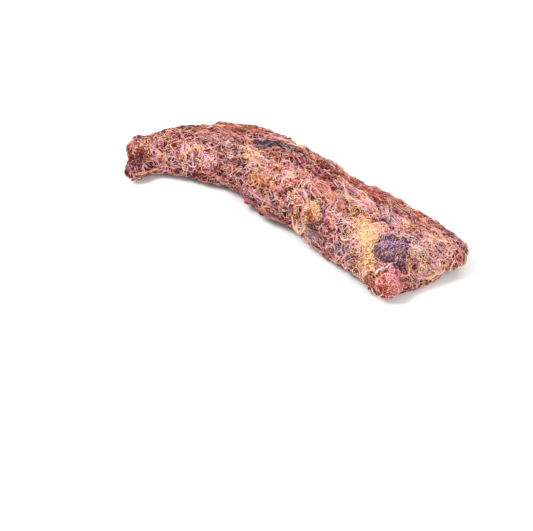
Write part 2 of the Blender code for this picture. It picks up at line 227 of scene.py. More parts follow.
PATCHES = (
    Patch("end_lobe", ((-216, 0, 25), (-199, -9, 25)), 13, mix(mauve=0.2, rust=0.25, brick=0.35, wine=0.2),
          14, MATTED, -0.6),
    Patch("end_tip", ((-198, -33, 18), (-183, -22, 16)), 8,
          mix(crimson=0.35, mauve=0.25, rose=0.25, wine=0.15), 5, MATTED, -0.25),
    Patch("end_edge", ((-215, -4, 20), (-213, 10, 27), (-203, 22, 31)), 4, mix(ochre=0.5, rust=0.5), 6,
          COMBED),
    Patch("end_back", ((-203, 10, 35), (-196, 24, 34), (-184, 38, 35)), 9,
          mix(rust=0.4, brick=0.35, wine=0.1, rose=0.15), 3, MATTED, -0.3),
    Patch("left_lobe", ((-184, 0, 30), (-175, 6, 30)), 9, mix(rose=0.3, blush=0.25, salmon=0.3, coral=0.15),
          3, LOOPED, -0.25),
    Patch("cream_loops", ((-165, 18, 37), (-149, 18, 40), (-131, 5, 34)), 11,
          mix(blush=0.25, cream=0.06, pink=0.27, rose=0.42), 5, LOOPED, -0.8),
    Patch("high_ridge", ((-180, 43, 37), (-152, 60, 42), (-115, 66, 48), (-71, 66, 54)), 11,
          mix(rust=0.25, brick=0.25, blush=0.15, ochre=0.15, rose=0.2), 4, COMBED, -0.5),
    Patch("yellow_fleck", ((-120, 57, 49), (-110, 56, 51)), 4, mix(gold=0.8, orange=0.2), 14, COMBED),
    Patch("ridge_mid", ((-150, 34, 43), (-110, 46, 46), (-76, 44, 53)), 9,
          mix(brick=0.25, mauve=0.2, rose=0.25, blush=0.15, orange=0.15), 4, COMBED, -0.08),
    Patch("grey_haze", ((-104, 30, 47), (-79, 28, 52)), 9, mix(lilac=0.3, mauve=0.2, blush=0.3, rose=0.2),
          4),
    Patch("slate_hollow", ((-60, 42, 50), (-42, 49, 53), (-22, 49, 57)), 6,
          mix(slate=0.35, indigo=0.3, plum=0.35), 14, COMBED),
    Patch("peach", ((-74, 24, 52), (-55, 20, 50), (-39, 16, 42)), 10,
          mix(blush=0.4, cream=0.14, orange=0.2, salmon=0.26), 5, MATTED, 0.2),
    Patch("orange_by_hollow", ((-50, 33, 52), (-40, 32, 52)), 6, mix(orange=0.6, rust=0.4), 6),
    # The peach lump's cleft: painted shade in wine and plum tones.
    Patch("peach_cleft", ((-73, 17, 45), (-62, 5, 43)), 3, mix(wine=0.6, plum=0.4), 10, COMBED, -0.3),
    Patch("magenta_curl", ((-113, 7, 39), (-107, 6, 34)), 9, mix(magenta=0.4, pink=0.4, lilac=0.2), 4,
          LOOPED, -0.1),
    Patch("rose_low", ((-125, 0, 20), (-95, 2, 22)), 10,
          mix(rose=0.35, crimson=0.25, brick=0.25, pink=0.15), 2, MATTED, -0.15),
    Patch("mustard", ((-92, 4, 14), (-86, 0, 14)), 5, mix(ochre=0.6, slate=0.4), 8, COMBED),
    Patch("amber", ((-41, -5, 40), (-31, 0, 43), (-26, 8, 42)), 10,
          mix(orange=0.45, gold=0.25, salmon=0.2, ochre=0.1), 7, MATTED, -0.2),
    Patch("amber_red", ((-34, -10, 36), (-28, -4, 42)), 6, mix(coral=0.5, crimson=0.5), 7, MATTED, -0.1),
    Patch("mid_pink", ((-9, 17, 47), (20, 10, 51)), 13, mix(pink=0.3, coral=0.25, salmon=0.25, magenta=0.2),
          3, LOOPED, -0.16),
    Patch("pink_loops", ((-5, -2, 47), (12, -4, 45), (26, -17, 39)), 13,
          mix(pink=0.4, blush=0.35, salmon=0.25), 4, LOOPED, -0.48),
    Patch("orange_comb", ((12, 13, 50), (44, -1, 50), (75, -19, 47)), 8,
          mix(orange=0.35, salmon=0.3, coral=0.2, blush=0.15), 3, COMBED),
    Patch("grey_zone", ((30, -6, 47), (48, -20, 49), (55, -33, 44)), 6,
          mix(plum=0.4, mauve=0.4, indigo=0.2), 7, MATTED, -0.15),
    Patch("near_lip", ((-72, -3, 17), (-43, -16, 15), (-3, -30, 16), (17, -35, 14)), 6,
          mix(rose=0.4, brick=0.2, mauve=0.4), 3, COMBED, -0.25),
    Patch("slate_fleck", ((-45, -10, 17), (-31, -15, 17)), 4, mix(slate=0.6, lilac=0.4), 14, COMBED),
    Patch("plum_low", ((-12, -22, 24), (8, -26, 22)), 8, mix(plum=0.4, magenta=0.3, rose=0.3), 3, MATTED,
          -0.1),
    Patch("ochre", ((21, -28, 24), (33, -35, 38), (42, -26, 45)), 10, mix(ochre=0.5, gold=0.3, orange=0.2),
          8, MATTED, -0.15),
    Patch("grey_lump", ((43, -33, 30), (56, -39, 35)), 7, mix(mauve=0.5, lilac=0.4, plum=0.1), 7, MATTED,
          0.05),
    Patch("crimson", ((57, -34, 43), (74, -41, 39), (79, -48, 28)), 8,
          mix(crimson=0.35, magenta=0.35, pink=0.3), 6, LOOPED, -0.55),
    Patch("lilac_lump", ((78, -37, 48), (92, -46, 43), (98, -49, 37)), 8,
          mix(lilac=0.35, mauve=0.4, pink=0.25), 5, MATTED, 0.5),
    Patch("pale_low", ((32, -38, 16), (51, -49, 19), (70, -52, 16)), 7,
          mix(lilac=0.35, mauve=0.25, blush=0.2, rose=0.2), 4, COMBED, 0.1),
    Patch("far_rim", ((-19, 58, 54), (40, 48, 50), (100, 26, 45), (149, 19, 35), (190, 14, 25)), 12,
          mix(rust=0.35, brick=0.35, orange=0.1, wine=0.2), 4, COMBED, -0.1),
    Patch("rim_inner", ((-9, 38, 54), (53, 19, 56), (108, 8, 48), (150, 4, 42)), 10,
          mix(rose=0.3, rust=0.25, salmon=0.25, mauve=0.2), 3, COMBED, -0.05),
    Patch("lilac_streaks", ((72, 4, 48), (108, -6, 51), (137, -9, 44)), 10,
          mix(pink=0.4, lilac=0.3, blush=0.3), 4, COMBED, 0.42),
    # Painted shade in the crevice along the second crease, over indigo and plum tones.
    Patch("dark_hollow", ((113, -26, 47), (122, -20, 48), (129, -18, 46)), 3.6, mix(indigo=0.5, plum=0.5),
          12, MATTED, -0.35),
    Patch("gold_top", ((84, -14, 50), (94, -25, 48)), 6, mix(gold=0.6, orange=0.4), 5),
    Patch("gold_band", ((108, -30, 46), (117, -48, 44), (124, -62, 38), (131, -76, 27)), 8.2,
          mix(gold=0.86, cream=0.04, orange=0.1), 40, LOOPED, -0.14),
    Patch("gold_tail", ((121, -70, 26), (133, -82, 25), (140, -85, 16)), 8,
          mix(gold=0.35, orange=0.25, salmon=0.25, brick=0.15), 6, COMBED),
    Patch("orange_edge", ((115, -75, 19), (122, -79, 14)), 6, mix(orange=0.6, ochre=0.4), 8),
    Patch("round_loop", ((103, -67, 22), (106, -71, 12)), 6, mix(magenta=0.3, mauve=0.4, plum=0.3), 7,
          MATTED, -0.15),
    Patch("lilac_low", ((87, -54, 25), (98, -62, 25)), 7, mix(lilac=0.4, mauve=0.4, slate=0.2), 6),
    Patch("pink_top", ((122, -29, 44), (136, -34, 45)), 6, mix(pink=0.4, coral=0.35, rose=0.25), 7, LOOPED),
    Patch("plum", ((137, -56, 39), (143, -48, 43), (154, -52, 41)), 10,
          mix(indigo=0.45, plum=0.3, mauve=0.25), 12, MATTED, -0.48),
    Patch("plum_right", ((161, -62, 35), (169, -68, 28)), 6, mix(indigo=0.45, plum=0.3, mauve=0.25), 8,
          MATTED, -0.4),
    Patch("ochre_streak", ((167, -53, 38), (174, -58, 32), (176, -67, 24)), 3, mix(ochre=0.8, gold=0.2), 20,
          COMBED),
    Patch("red_lobe", ((150, -75, 27), (164, -82, 27), (166, -91, 18)), 11,
          mix(coral=0.5, brick=0.15, salmon=0.25, pink=0.1), 8, LOOPED, -0.36),
    Patch("red_top", ((139, -70, 29), (147, -64, 31)), 5, mix(crimson=0.5, magenta=0.3, wine=0.2), 8,
          LOOPED, -0.2),
    Patch("lilac_white", ((157, -34, 43), (172, -42, 41)), 9, mix(lilac=0.5, blush=0.25, mauve=0.25), 5,
          MATTED, 0.6),
    Patch("plum_pink", ((176, -53, 34), (178, -64, 22)), 8, mix(magenta=0.3, mauve=0.4, rose=0.3), 4),
    Patch("brick_end", ((180, -19, 38), (193, -17, 31)), 11,
          mix(salmon=0.25, coral=0.25, pink=0.25, rose=0.15, blush=0.1), 3, MATTED, 0.8),
    Patch("cream_threads", ((186, -48, 24), (203, -28, 17)), 8,
          mix(cream=0.25, salmon=0.45, pink=0.15, blush=0.15), 4, MATTED, 0.45),
    Patch("dark_corner", ((200, 12, 22), (212, 4, 18)), 11, mix(brick=0.45, wine=0.4, rose=0.15), 5, MATTED,
          0.0),
)


@dataclass
class PatchMap:
    """The pad's patches and the tones that they give to any place."""

    patches: tuple[Patch, ...] = PATCHES
    base: dict[Tone, float] = field(default_factory=lambda: dict(BASE_MIX))
    wobble_size: float = 11 * MM
    wobble: float = 0.34
    drift_size: float = 17 * MM
    drift: float = 2.6

    def ragged(self, places: np.ndarray) -> np.ndarray:
        """A smooth random value a point, which makes the patches' edges ragged."""
        values = [noise.noise(Vector(place) / self.wobble_size) for place in places]
        return np.array(values) * self.wobble

    def shares(self, places: np.ndarray) -> np.ndarray:
        """The share of each tone at some places.

        Args:
            places: points in metres, one a row.

        Returns:
            One row a point and one column a tone, each row adding up to one.
        """
        total = np.tile([self.base.get(tone, 0.0) for tone in TONES], (len(places), 1))
        drift = np.array([noise.noise(Vector(place) / self.drift_size) for place in places]) * self.drift
        for k, tone in enumerate(TONES):
            total[:, k] *= np.exp(drift * ((tone in WARM) - (tone in COOL)))
        wobble = self.ragged(places)
        for patch in self.patches:
            given = np.array([patch.mix.get(tone, 0.0) for tone in TONES])
            total += patch.weight(places, wobble)[:, None] * given
        return total / total.sum(axis=1, keepdims=True)

    def tones(self, places: np.ndarray, pick: np.ndarray) -> np.ndarray:
        """Draws a tone for each place.

        Args:
            places: points in metres, one a row.
            pick: a number from 0 to 1 a place, the same all along a frond.

        Returns:
            The tone numbers.
        """
        found = (self.shares(places).cumsum(axis=1) < pick[:, None]).sum(axis=1)
        return np.minimum(found, len(TONES) - 1)

    def curl(self, places: np.ndarray) -> np.ndarray:
        """How strongly fronds curl at some places, in radians a millimetre."""
        return self._mean(places, MATTED, [patch.curl for patch in self.patches])

    def light(self, places: np.ndarray) -> np.ndarray:
        """How much lighter or darker than elsewhere the fronds are at some places, partly by their own
        colour and partly by painted light and shade.
        """
        return self._mean(places, 0.0, [patch.light for patch in self.patches])

    def _mean(self, places: np.ndarray, base: float, values: list[float]) -> np.ndarray:
        """Weighs a value of every patch by how much the patch counts.

        Args:
            places: points in metres, one a row.
            base: the value away from all patches.
            values: the value of each patch.

        Returns:
            The weighed mean at each place.
        """
        weights = np.ones(len(places))
        total = np.full(len(places), base)
        wobble = self.ragged(places)
        for patch, value in zip(self.patches, values):
            weight = patch.weight(places, wobble)
            weights += weight
            total += weight * value
        return total / weights


class Wire:
    """A node's output socket that Python's operators turn into Math nodes."""

    def __init__(self, tree: bpy.types.NodeTree, socket: bpy.types.NodeSocket) -> None:
        """Keeps the tree and the socket."""
        self.tree = tree
        self.socket = socket

    def _math(self, operation: str, first: "Wire | float", second: "Wire | float") -> "Wire":
        """Adds one Math node.

        Args:
            operation: the node's operation.
            first: its first value.
            second: its second value.

        Returns:
            The node's result.
        """
        node = self.tree.nodes.new("ShaderNodeMath")
        node.operation = operation
        for socket, value in zip(node.inputs, (first, second)):
            if isinstance(value, Wire):
                self.tree.links.new(value.socket, socket)
            else:
                socket.default_value = value
        return Wire(self.tree, node.outputs[0])

    def __add__(self, other: "Wire | float") -> "Wire":
        """Sum."""
        return self._math("ADD", self, other)

    __radd__ = __add__

    def __sub__(self, other: "Wire | float") -> "Wire":
        """Difference."""
        return self._math("SUBTRACT", self, other)

    def __rsub__(self, other: float) -> "Wire":
        """Difference from a number."""
        return self._math("SUBTRACT", other, self)

    def __mul__(self, other: "Wire | float") -> "Wire":
        """Product."""
        return self._math("MULTIPLY", self, other)

    __rmul__ = __mul__


class Shader:
    """A material whose nodes are added by short calls."""

    def __init__(self, name: str) -> None:
        """Starts a material with only a Principled shader and its output.

        Args:
            name: the material's name.
        """
        self.material = bpy.data.materials.new(name)
        self.material.use_nodes = True
        self.tree = self.material.node_tree
        self.principled = self.tree.nodes["Principled BSDF"]

    def node(
        self, kind: str, settings: dict | None = None, inputs: dict | None = None, output: int | str = 0
    ) -> Wire:
        """Adds any node.

        Args:
            kind: the node's type.
            settings: properties to set first, or a ramp's stops under "stops".
            inputs: values or wires by socket name or number.
            output: the output socket to return.

        Returns:
            The chosen output.
        """
        node = self.tree.nodes.new(kind)
        for key, value in (settings or {}).items():
            if key == "stops":
                self._set_stops(node, value)
            else:
                setattr(node, key, value)
        for key, value in (inputs or {}).items():
            if isinstance(value, Wire):
                self.tree.links.new(value.socket, node.inputs[key])
            else:
                node.inputs[key].default_value = value
        return Wire(self.tree, node.outputs[output])

    @staticmethod
    def _set_stops(node: bpy.types.Node, stops: list[tuple[float, float]]) -> None:
        """Sets a ramp's grey stops.

        Args:
            node: the ramp.
            stops: the place and the value of each.
        """
        elements = node.color_ramp.elements
        while len(elements) < len(stops):
            elements.new(0.5)
        for element, (place, value) in zip(elements, stops):
            element.position = place
            element.color = (value, value, value, 1.0)

    def position(self) -> Wire:
        """The surface point, in metres in the object's own frame."""
        return self.node("ShaderNodeTexCoord", output="Object")

    def noise(self, scale: float, detail: float = 3.0, roughness: float = 0.6) -> Wire:
        """Fractal noise over the surface point.

        Args:
            scale: lumps a metre.
            detail: finer octaves.
            roughness: strength of the finer octaves.

        Returns:
            A value from 0 to 1.
        """
        inputs = {"Vector": self.position(), "Scale": scale, "Detail": detail, "Roughness": roughness}
        return self.node("ShaderNodeTexNoise", inputs=inputs)

    def ramp(self, value: Wire, stops: list[tuple[float, float]]) -> Wire:
        """A grey ramp of a value."""
        return self.node("ShaderNodeValToRGB", {"stops": stops}, {"Fac": value})

    def blend(
        self, factor: Wire | float, first: Wire | tuple, second: Wire | tuple, how: str = "MIX"
    ) -> Wire:
        """Mixes two colours.

        Args:
            factor: share of the second.
            first: a wire or a linear colour.
            second: a wire or a linear colour.
            how: the blend type.

        Returns:
            The mixed colour.
        """
        settings = {"data_type": "RGBA", "blend_type": how}
        return self.node("ShaderNodeMix", settings, {0: factor, 6: first, 7: second}, 2)

    def scaled(self, colour: Wire, value: Wire) -> Wire:
        """A colour made lighter or darker by a value."""
        return self.node("ShaderNodeVectorMath", {"operation": "SCALE"}, {0: colour, "Scale": value})

    def tint(self) -> Wire:
        """The colour stored with each frond."""
        return self.node("ShaderNodeVertexColor", {"layer_name": TINT})

    def bump(self, height: Wire, depth: float, strength: float) -> Wire:
        """A bumped normal.

        Args:
            height: the relief.
            depth: its depth in metres.
            strength: its share.

        Returns:
            The normal.
        """
        inputs = {"Height": height, "Distance": depth, "Strength": strength}
        return self.node("ShaderNodeBump", inputs=inputs)

    def feed(self, **values: "Wire | float | tuple") -> None:
        """Feeds the shader's sockets.

        Args:
            values: a wire or a plain value by the socket's name, with underscores for spaces.
        """
        for name, value in values.items():
            socket = self.principled.inputs[name.replace("_", " ")]
            if isinstance(value, Wire):
                self.tree.links.new(value.socket, socket)
            else:
                socket.default_value = value


@dataclass(frozen=True)
class FrondFinish:
    """Dry, slightly waxy frond: its own tint, drifting to plum or rust, with dark spots painted as shade
    between fronds and a fine grain.
    """

    name: str
    drift_scale: float = 75.0
    mottle_scale: float = 230.0
    mottle: float = 0.55
    shade_spot_scale: float = 560.0
    shade_spot_depth: float = 0.35
    grain_scale: float = 1400.0
    grain_depth: float = 0.25 * MM
    roughness: float = 0.66
    shine: float = 0.2
    cool: tuple[float, float, float, float] = (0.95, 0.80, 1.06, 1.0)
    warm: tuple[float, float, float, float] = (1.06, 0.98, 0.74, 1.0)

    def make(self) -> bpy.types.Material:
        """Builds the material.

        Returns:
            The finish, ready for a piece.
        """
        shader = Shader(self.name)
        cool = shader.blend(1.0, shader.tint(), self.cool, "MULTIPLY")
        warm = shader.blend(1.0, shader.tint(), self.warm, "MULTIPLY")
        lean = shader.ramp(shader.noise(self.drift_scale, 3.0), [(0.34, 0.0), (0.66, 1.0)])
        colour = shader.blend(lean, cool, warm)
        mottle = shader.noise(self.mottle_scale, 2.0)
        grain = shader.noise(self.grain_scale, 3.0, 0.7)
        # Dark spots painted as shade in the gaps between fronds.
        shade_spots = shader.ramp(shader.noise(self.shade_spot_scale, 1.0), [(0.37, 1.0 - self.shade_spot_depth), (0.46, 1.0)])
        lightness = (1.0 + (self.mottle * (mottle - 0.5) + 0.4 * (grain - 0.5))) * shade_spots
        shader.feed(Base_Color=shader.scaled(colour, lightness))
        shader.feed(Roughness=(grain - 0.5) * 0.4 + self.roughness, Specular_IOR_Level=self.shine)
        shader.feed(Normal=shader.bump(grain, self.grain_depth, 0.6))
        return shader.material


@dataclass(frozen=True)
class FeltFinish:
    """Pressed bed of fronds under the loose ones: painted dark as the shade beneath them, with a tangled
    relief.
    """

    name: str = "pressed_felt"
    shade: float = 0.14
    swirl_scale: float = 300.0
    strand_scale: float = 420.0
    relief: float = 0.8 * MM

    def make(self) -> bpy.types.Material:
        """Builds the material.

        Returns:
            The finish, ready for a piece.
        """
        shader = Shader(self.name)
        swirl = shader.noise(self.swirl_scale, 5.0, 0.7)
        cells = {"Vector": shader.position(), "Scale": self.strand_scale, "Randomness": 1.0}
        strands = shader.node("ShaderNodeTexVoronoi", {"feature": "DISTANCE_TO_EDGE"}, cells)
        thread = shader.ramp(strands, [(0.02, 1.0), (0.22, 0.0)])
        lightness = (0.05 + (1.7 * thread + 0.5 * swirl)) * self.shade
        shader.feed(Base_Color=shader.scaled(shader.tint(), lightness))
        shader.feed(Roughness=0.9 - thread * 0.15, Specular_IOR_Level=0.15)
        shader.feed(Normal=shader.bump(thread + swirl, self.relief, 0.9))
        return shader.material


@dataclass(frozen=True)
class FloorFinish:
    """Plain pale floor."""

    name: str = "pale_floor"
    colour: tuple[float, float, float] = (0.76, 0.755, 0.75)

    def make(self) -> bpy.types.Material:
        """Builds the material.

        Returns:
            The finish, ready for a piece.
        """
        shader = Shader(self.name)
        cloud = shader.noise(3.0, 2.0)
        shader.feed(Base_Color=(*self.colour, 1.0), Roughness=0.9 - cloud * 0.05)
        return shader.material


@dataclass(frozen=True)
class Crease:
    """A groove pressed into the pad along a line, in millimetres, with raised rims and painted shade at its
    bottom.
    """

    line: Line
    width: float
    depth: float
    rim: float = 0.0
    gloom: float = 0.8
    rim_place: float = 2.1
    gloom_spread: float = 1.2

    def drop(self, places: np.ndarray) -> np.ndarray:
        """How far the surface sinks at some places.

        Args:
            places: points in metres, one a row.

        Returns:
            A depth in metres a point, negative on the raised rims.
        """
        reach = distance(self.line, places) / self.width
        rim = self.rim * np.exp(-((reach - self.rim_place) ** 2) * 2)
        return (self.depth * np.exp(-(reach**2)) - rim) * MM

    def shadow(self, places: np.ndarray) -> np.ndarray:
        """How much painted shade falls at some places, from 0 to 1, by how deep in the groove they are."""
        reach = distance(self.line, places) / self.width / self.gloom_spread
        return self.gloom * np.exp(-(reach**2))


@dataclass(frozen=True)
class Swell:
    """A lump raised out of the pad, in millimetres."""

    centre: tuple[float, float, float]
    reach: float
    height: float

    def rise(self, places: np.ndarray) -> np.ndarray:
        """How far the surface rises at some places, in metres."""
        away = np.linalg.norm(places - np.array(self.centre) * MM, axis=1) / (self.reach * MM)
        return self.height * MM * np.exp(-(away**3))


CREASES = (
    Crease(((-64, 36, 54), (-44, 46, 56), (-20, 45, 60), (-6, 40, 60)), 3.4, 6.0, 1.5, 0.5),
    Crease(((113, -30, 50), (120, -24, 51), (131, -18, 48)), 2.6, 6.0, 1.5),
    Crease(((-174, 14, 35), (-168, 5, 30), (-160, -4, 20)), 2.6, 3.5, 1.0, 0.5),
    Crease(((-52, -14, 20), (-26, -21, 21), (0, -29, 22), (22, -33, 20)), 3.0, 5.0, 2.5),
    Crease(((104, -40, 46), (111, -58, 44), (119, -74, 32)), 2.4, 3.5, 0.5),
    Crease(((134, -44, 46), (131, -60, 44), (136, -72, 32)), 2.4, 3.5, 0.5),
    Crease(((-12, 27, 54), (30, 16, 55), (70, 6, 54), (108, 2, 51)), 4.0, 2.5, 1.0),
    Crease(((-100, 20, 46), (-84, 26, 50), (-76, 10, 42)), 3.0, 3.5, 1.0),
    Crease(((40, -30, 46), (46, -44, 40), (44, -56, 24)), 2.6, 3.5, 1.0),
    Crease(((142, -70, 34), (152, -66, 34), (168, -70, 33)), 2.6, 4.0, 0.5),
)

SWELLS = (
    Swell((-57, 22, 52), 17, 2.2),
    Swell((-110, 7, 36), 11, 2.0),
    Swell((88, -46, 42), 11, 2.2),
    Swell((55, -46, 38), 9, 2.0),
    Swell((212, -2, 24), 15, 7.0),
    Swell((207, 14, 20), 14, 5.0),
    Swell((-211, 1, 27), 17, 6.5),
    Swell((-188, 22, 34), 16, 4.0),
    Swell((-112, 63, 50), 20, 3.0),
    Swell((163, -90, 9), 13, 5.0),
    Swell((88, 32, 47), 14, 4.5),
    Swell((105, 29, 43), 12, 0.8),
    Swell((122, 28, 40), 14, 5.5),
    Swell((152, 24, 32), 16, 5.0),
    Swell((176, 22, 26), 18, 6.5),
    Swell((198, 18, 20), 14, 5.0),
)


def neighbours(count: int, edges: np.ndarray) -> np.ndarray:
    """Lists each point's neighbours.

    Args:
        count: how many points there are.
        edges: the numbers of each edge's two points.

    Returns:
        One row a point, filled up with the point's own number.
    """
    both = np.concatenate([edges, edges[:, ::-1]])
    both = both[np.argsort(both[:, 0], kind="stable")]
    rank = np.arange(len(both)) - np.searchsorted(both[:, 0], both[:, 0])
    table = np.tile(np.arange(count)[:, None], (1, rank.max() + 1))
    table[both[:, 0], rank] = both[:, 1]
    return table


def evened(places: np.ndarray, table: np.ndarray, share: np.ndarray, rounds: int) -> np.ndarray:
    """Evens out a mesh by drawing each point towards the mean of its neighbours.

    Args:
        places: the mesh's points.
        table: each point's neighbours.
        share: how far each point moves in a round.
        rounds: how many rounds.

    Returns:
        The moved points.
    """
    moving = np.flatnonzero(share > 0.01)
    places = places.copy()
    for _ in range(rounds):
        places[moving] += (places[table[moving]].mean(axis=1) - places[moving]) * share[moving, None]
    return places


@dataclass
class Skin:
    """The pad's rounded body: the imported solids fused, smoothed and drawn in to leave room for fronds."""

    voxel: float = 2.4 * MM
    rounds: int = 4
    round_share: float = 0.5
    press_share: float = 0.8
    press_reach: float = 1.2
    press: dict[str, int] = field(default_factory=lambda: {
        "golden_tuft": 140,
        "ochre_tuft": 90,
        "plum_tuft": 140,
        "cream_tuft": 140,
        "amber_tuft": 140,
        "mauve_tuft": 15,
        "red_curl_tuft": 24,
    })
    inset: float = 2.3 * MM
    crumple: tuple[float, float] = (10 * MM, 0.9 * MM)
    swirl_size: float = 75 * MM
    swirl_strength: float = 1.8
    swirl_offset: tuple[float, float, float] = (11.0, 5.0, 3.0)
    floor_gap: float = 1.0 * MM
    cell: float = 6 * MM
    slices: int = 24
    felt_levels: tuple[float, float] = (0.3, 0.55)
    felt_gloom: float = 0.5

    def build(self, patches: PatchMap) -> bpy.types.Object:
        """Builds the body and its lookups.

        Args:
            patches: the colours of each place.

        Returns:
            The body as a mesh object.
        """
        piece = self._fused()
        self._press(piece.data)
        places, normals = self._vertices(piece.data)
        drop = sum(crease.drop(places) for crease in CREASES) - sum(swell.rise(places) for swell in SWELLS)
        size, depth = self.crumple
        drop += depth * np.array([noise.noise(Vector(place) / size) for place in places])
        places = places - normals * (drop + self.inset)[:, None]
        places[:, 2] = np.maximum(places[:, 2], self.floor_gap)
        piece.data.vertices.foreach_set("co", places.astype(np.float32).ravel())
        piece.data.update()
        piece.data.shade_smooth()
        shares = patches.shares(places)
        # The felt is painted darker on top than on the underside, as shade under the fronds, and darker
        # again in creases as painted shade.
        top, under = self.felt_levels
        level = np.where(normals[:, 2] < UNDERSIDE, under, top) - self.felt_gloom * self.shadow(places)
        paint(piece.data, shaded(shares @ TONE_LIGHT, level))
        self._index(piece.data, patches)
        return piece

    def dress(self, felt: bpy.types.Object) -> None:
        """Gives the body its finish and says what it rides on and stands for.

        Args:
            felt: the body.
        """
        felt.data.materials.append(FeltFinish().make())
        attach(felt, "root")
        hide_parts("moss_mat")

    def _fused(self) -> bpy.types.Object:
        """Joins copies of the solids and rounds them into one skin.

        Returns:
            The skin as an object.
        """
        shape = bmesh.new()
        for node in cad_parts.values():
            shape.from_mesh(node.data)
        mesh = bpy.data.meshes.new("felt_bed")
        shape.to_mesh(mesh)
        shape.free()
        piece = placed("felt_bed", mesh)
        remesh = piece.modifiers.new("fuse", "REMESH")
        remesh.mode = "VOXEL"
        remesh.voxel_size = self.voxel
        graph = bpy.context.evaluated_depsgraph_get()
        made = bpy.data.meshes.new_from_object(piece.evaluated_get(graph))
        piece.modifiers.clear()
        piece.data = made
        return piece

    def _press(self, mesh: bpy.types.Mesh) -> None:
        """Rounds the skin's small steps, and presses the tufts into their surroundings.

        Args:
            mesh: the skin's mesh, which is changed.
        """
        places, _ = self._vertices(mesh)
        edges = np.empty(len(mesh.edges) * 2, np.int32)
        mesh.edges.foreach_get("vertices", edges)
        table = neighbours(len(places), edges.reshape(-1, 2))
        places = evened(places, table, np.full(len(places), self.round_share), self.rounds)
        for name, rounds in self.press.items():
            own, _ = self._vertices(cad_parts[name].data)
            low, high = own.min(axis=0), own.max(axis=0)
            reach = np.linalg.norm((places - (low + high) / 2) / ((high - low) / 2), axis=1)
            share = self.press_share * np.exp(-((reach / self.press_reach) ** 8))
            places = evened(places, table, share, rounds)
        mesh.vertices.foreach_set("co", places.astype(np.float32).ravel())
        mesh.update()

    @staticmethod
    def _vertices(mesh: bpy.types.Mesh) -> tuple[np.ndarray, np.ndarray]:
        """Reads a mesh's points and their normals.

        Args:
            mesh: the mesh.

        Returns:
            The points and the normals, one a row.
        """
        places = np.empty(len(mesh.vertices) * 3, np.float32)
        normals = np.empty(len(mesh.vertices) * 3, np.float32)
        mesh.vertices.foreach_get("co", places)
        mesh.vertex_normals.foreach_get("vector", normals)
        return places.reshape(-1, 3).astype(float), normals.reshape(-1, 3).astype(float)

    def _index(self, mesh: bpy.types.Mesh, patches: PatchMap) -> None:
        """Keeps the lookups that fronds need: nearest face, smooth normal and lie of each face.

        Args:
            mesh: the finished skin.
            patches: gives the curl of each place.
        """
        mesh.calc_loop_triangles()
        corners = np.empty(len(mesh.loop_triangles) * 3, np.int32)
        mesh.loop_triangles.foreach_get("vertices", corners)
        self.triangles = corners.reshape(-1, 3)
        self.points, vertex_normals = self._vertices(mesh)
        self.normals = unit(vertex_normals[self.triangles].mean(axis=1))
        self.centres = self.points[self.triangles].mean(axis=1)
        first, second, third = (self.points[self.triangles[:, k]] for k in range(3))
        self.areas = np.linalg.norm(np.cross(second - first, third - first), axis=1) / 2
        self.tree = BVHTree.FromPolygons(self.points.tolist(), self.triangles.tolist())
        self.flow = self._flow(patches)

    def _flow(self, patches: PatchMap) -> np.ndarray:
        """Finds the direction that fronds lie in: along the pad, swirling outside combed places.

        Args:
            patches: gives the curl of each place.

        Returns:
            One direction a face.
        """
        along = self._lie(self.centres)
        turns = np.zeros_like(along)
        offset = Vector(self.swirl_offset)
        for i, centre in enumerate(self.centres):
            place = Vector(centre) / self.swirl_size
            turns[i, :2] = noise.noise(place), noise.noise(place + offset)
        matted = np.clip(patches.curl(self.centres) / MATTED, 0.1, 1)
        flow = along + turns * matted[:, None] * self.swirl_strength
        flow -= self.normals * np.sum(flow * self.normals, axis=1, keepdims=True)
        return unit(flow)

    def _lie(self, places: np.ndarray) -> np.ndarray:
        """Finds the direction of the pad's length from the middle line of its own body.

        Args:
            places: points in metres, one a row.

        Returns:
            One direction a place.
        """
        length = self.points[:, 0]
        edges = np.linspace(length.min(), length.max(), self.slices + 1)
        which = np.clip(np.digitize(length, edges) - 1, 0, self.slices - 1)
        middle = np.array([self.points[which == i, 1].mean() for i in range(self.slices)])
        smooth = np.convolve(np.pad(middle, 2, "edge"), np.ones(5) / 5, "valid")
        slope = np.gradient(smooth, edges[1] - edges[0])
        here = np.clip(np.digitize(places[:, 0], edges) - 1, 0, self.slices - 1)
        return unit(np.stack([np.ones(len(places)), slope[here], np.zeros(len(places))], axis=1))

    @staticmethod
    def shadow(places: np.ndarray) -> np.ndarray:
        """How much painted shade the creases put on some places, from 0 on the open skin to 1 at the
        bottom.
        """
        return np.max([crease.shadow(places) for crease in CREASES], axis=0)

    def nearest(self, places: np.ndarray) -> tuple[np.ndarray, np.ndarray]:
        """The nearest skin points.

        Args:
            places: points in metres, one a row.

        Returns:
            The skin points and the faces that they lie on.
        """
        found = np.empty_like(places)
        faces = np.empty(len(places), int)
        find = self.tree.find_nearest
        for i, place in enumerate(places.tolist()):
            spot, _, face, _ = find(place)
            found[i] = spot
            faces[i] = face
        return found, faces

    def scatter(self, count: int, draw: np.random.Generator, under: float = 0.3) -> np.ndarray:
        """Random skin points, spread evenly by area.

        Args:
            count: how many.
            draw: the seeded source of random numbers.
            under: how densely the underside is covered, against 1 for the rest.

        Returns:
            The points, one a row.
        """
        weight = self.areas * np.where(self.normals[:, 2] < UNDERSIDE, under, 1.0)
        order = np.lexsort(np.floor(self.centres / self.cell).T)
        sums = np.cumsum(weight[order])
        spots = (np.arange(count) + draw.uniform(0, 1, count)) / count * sums[-1]
        picks = order[np.searchsorted(sums, spots)]
        shares = draw.dirichlet((1, 1, 1), count)
        return np.einsum("nk,nkd->nd", shares, self.points[self.triangles[picks]])


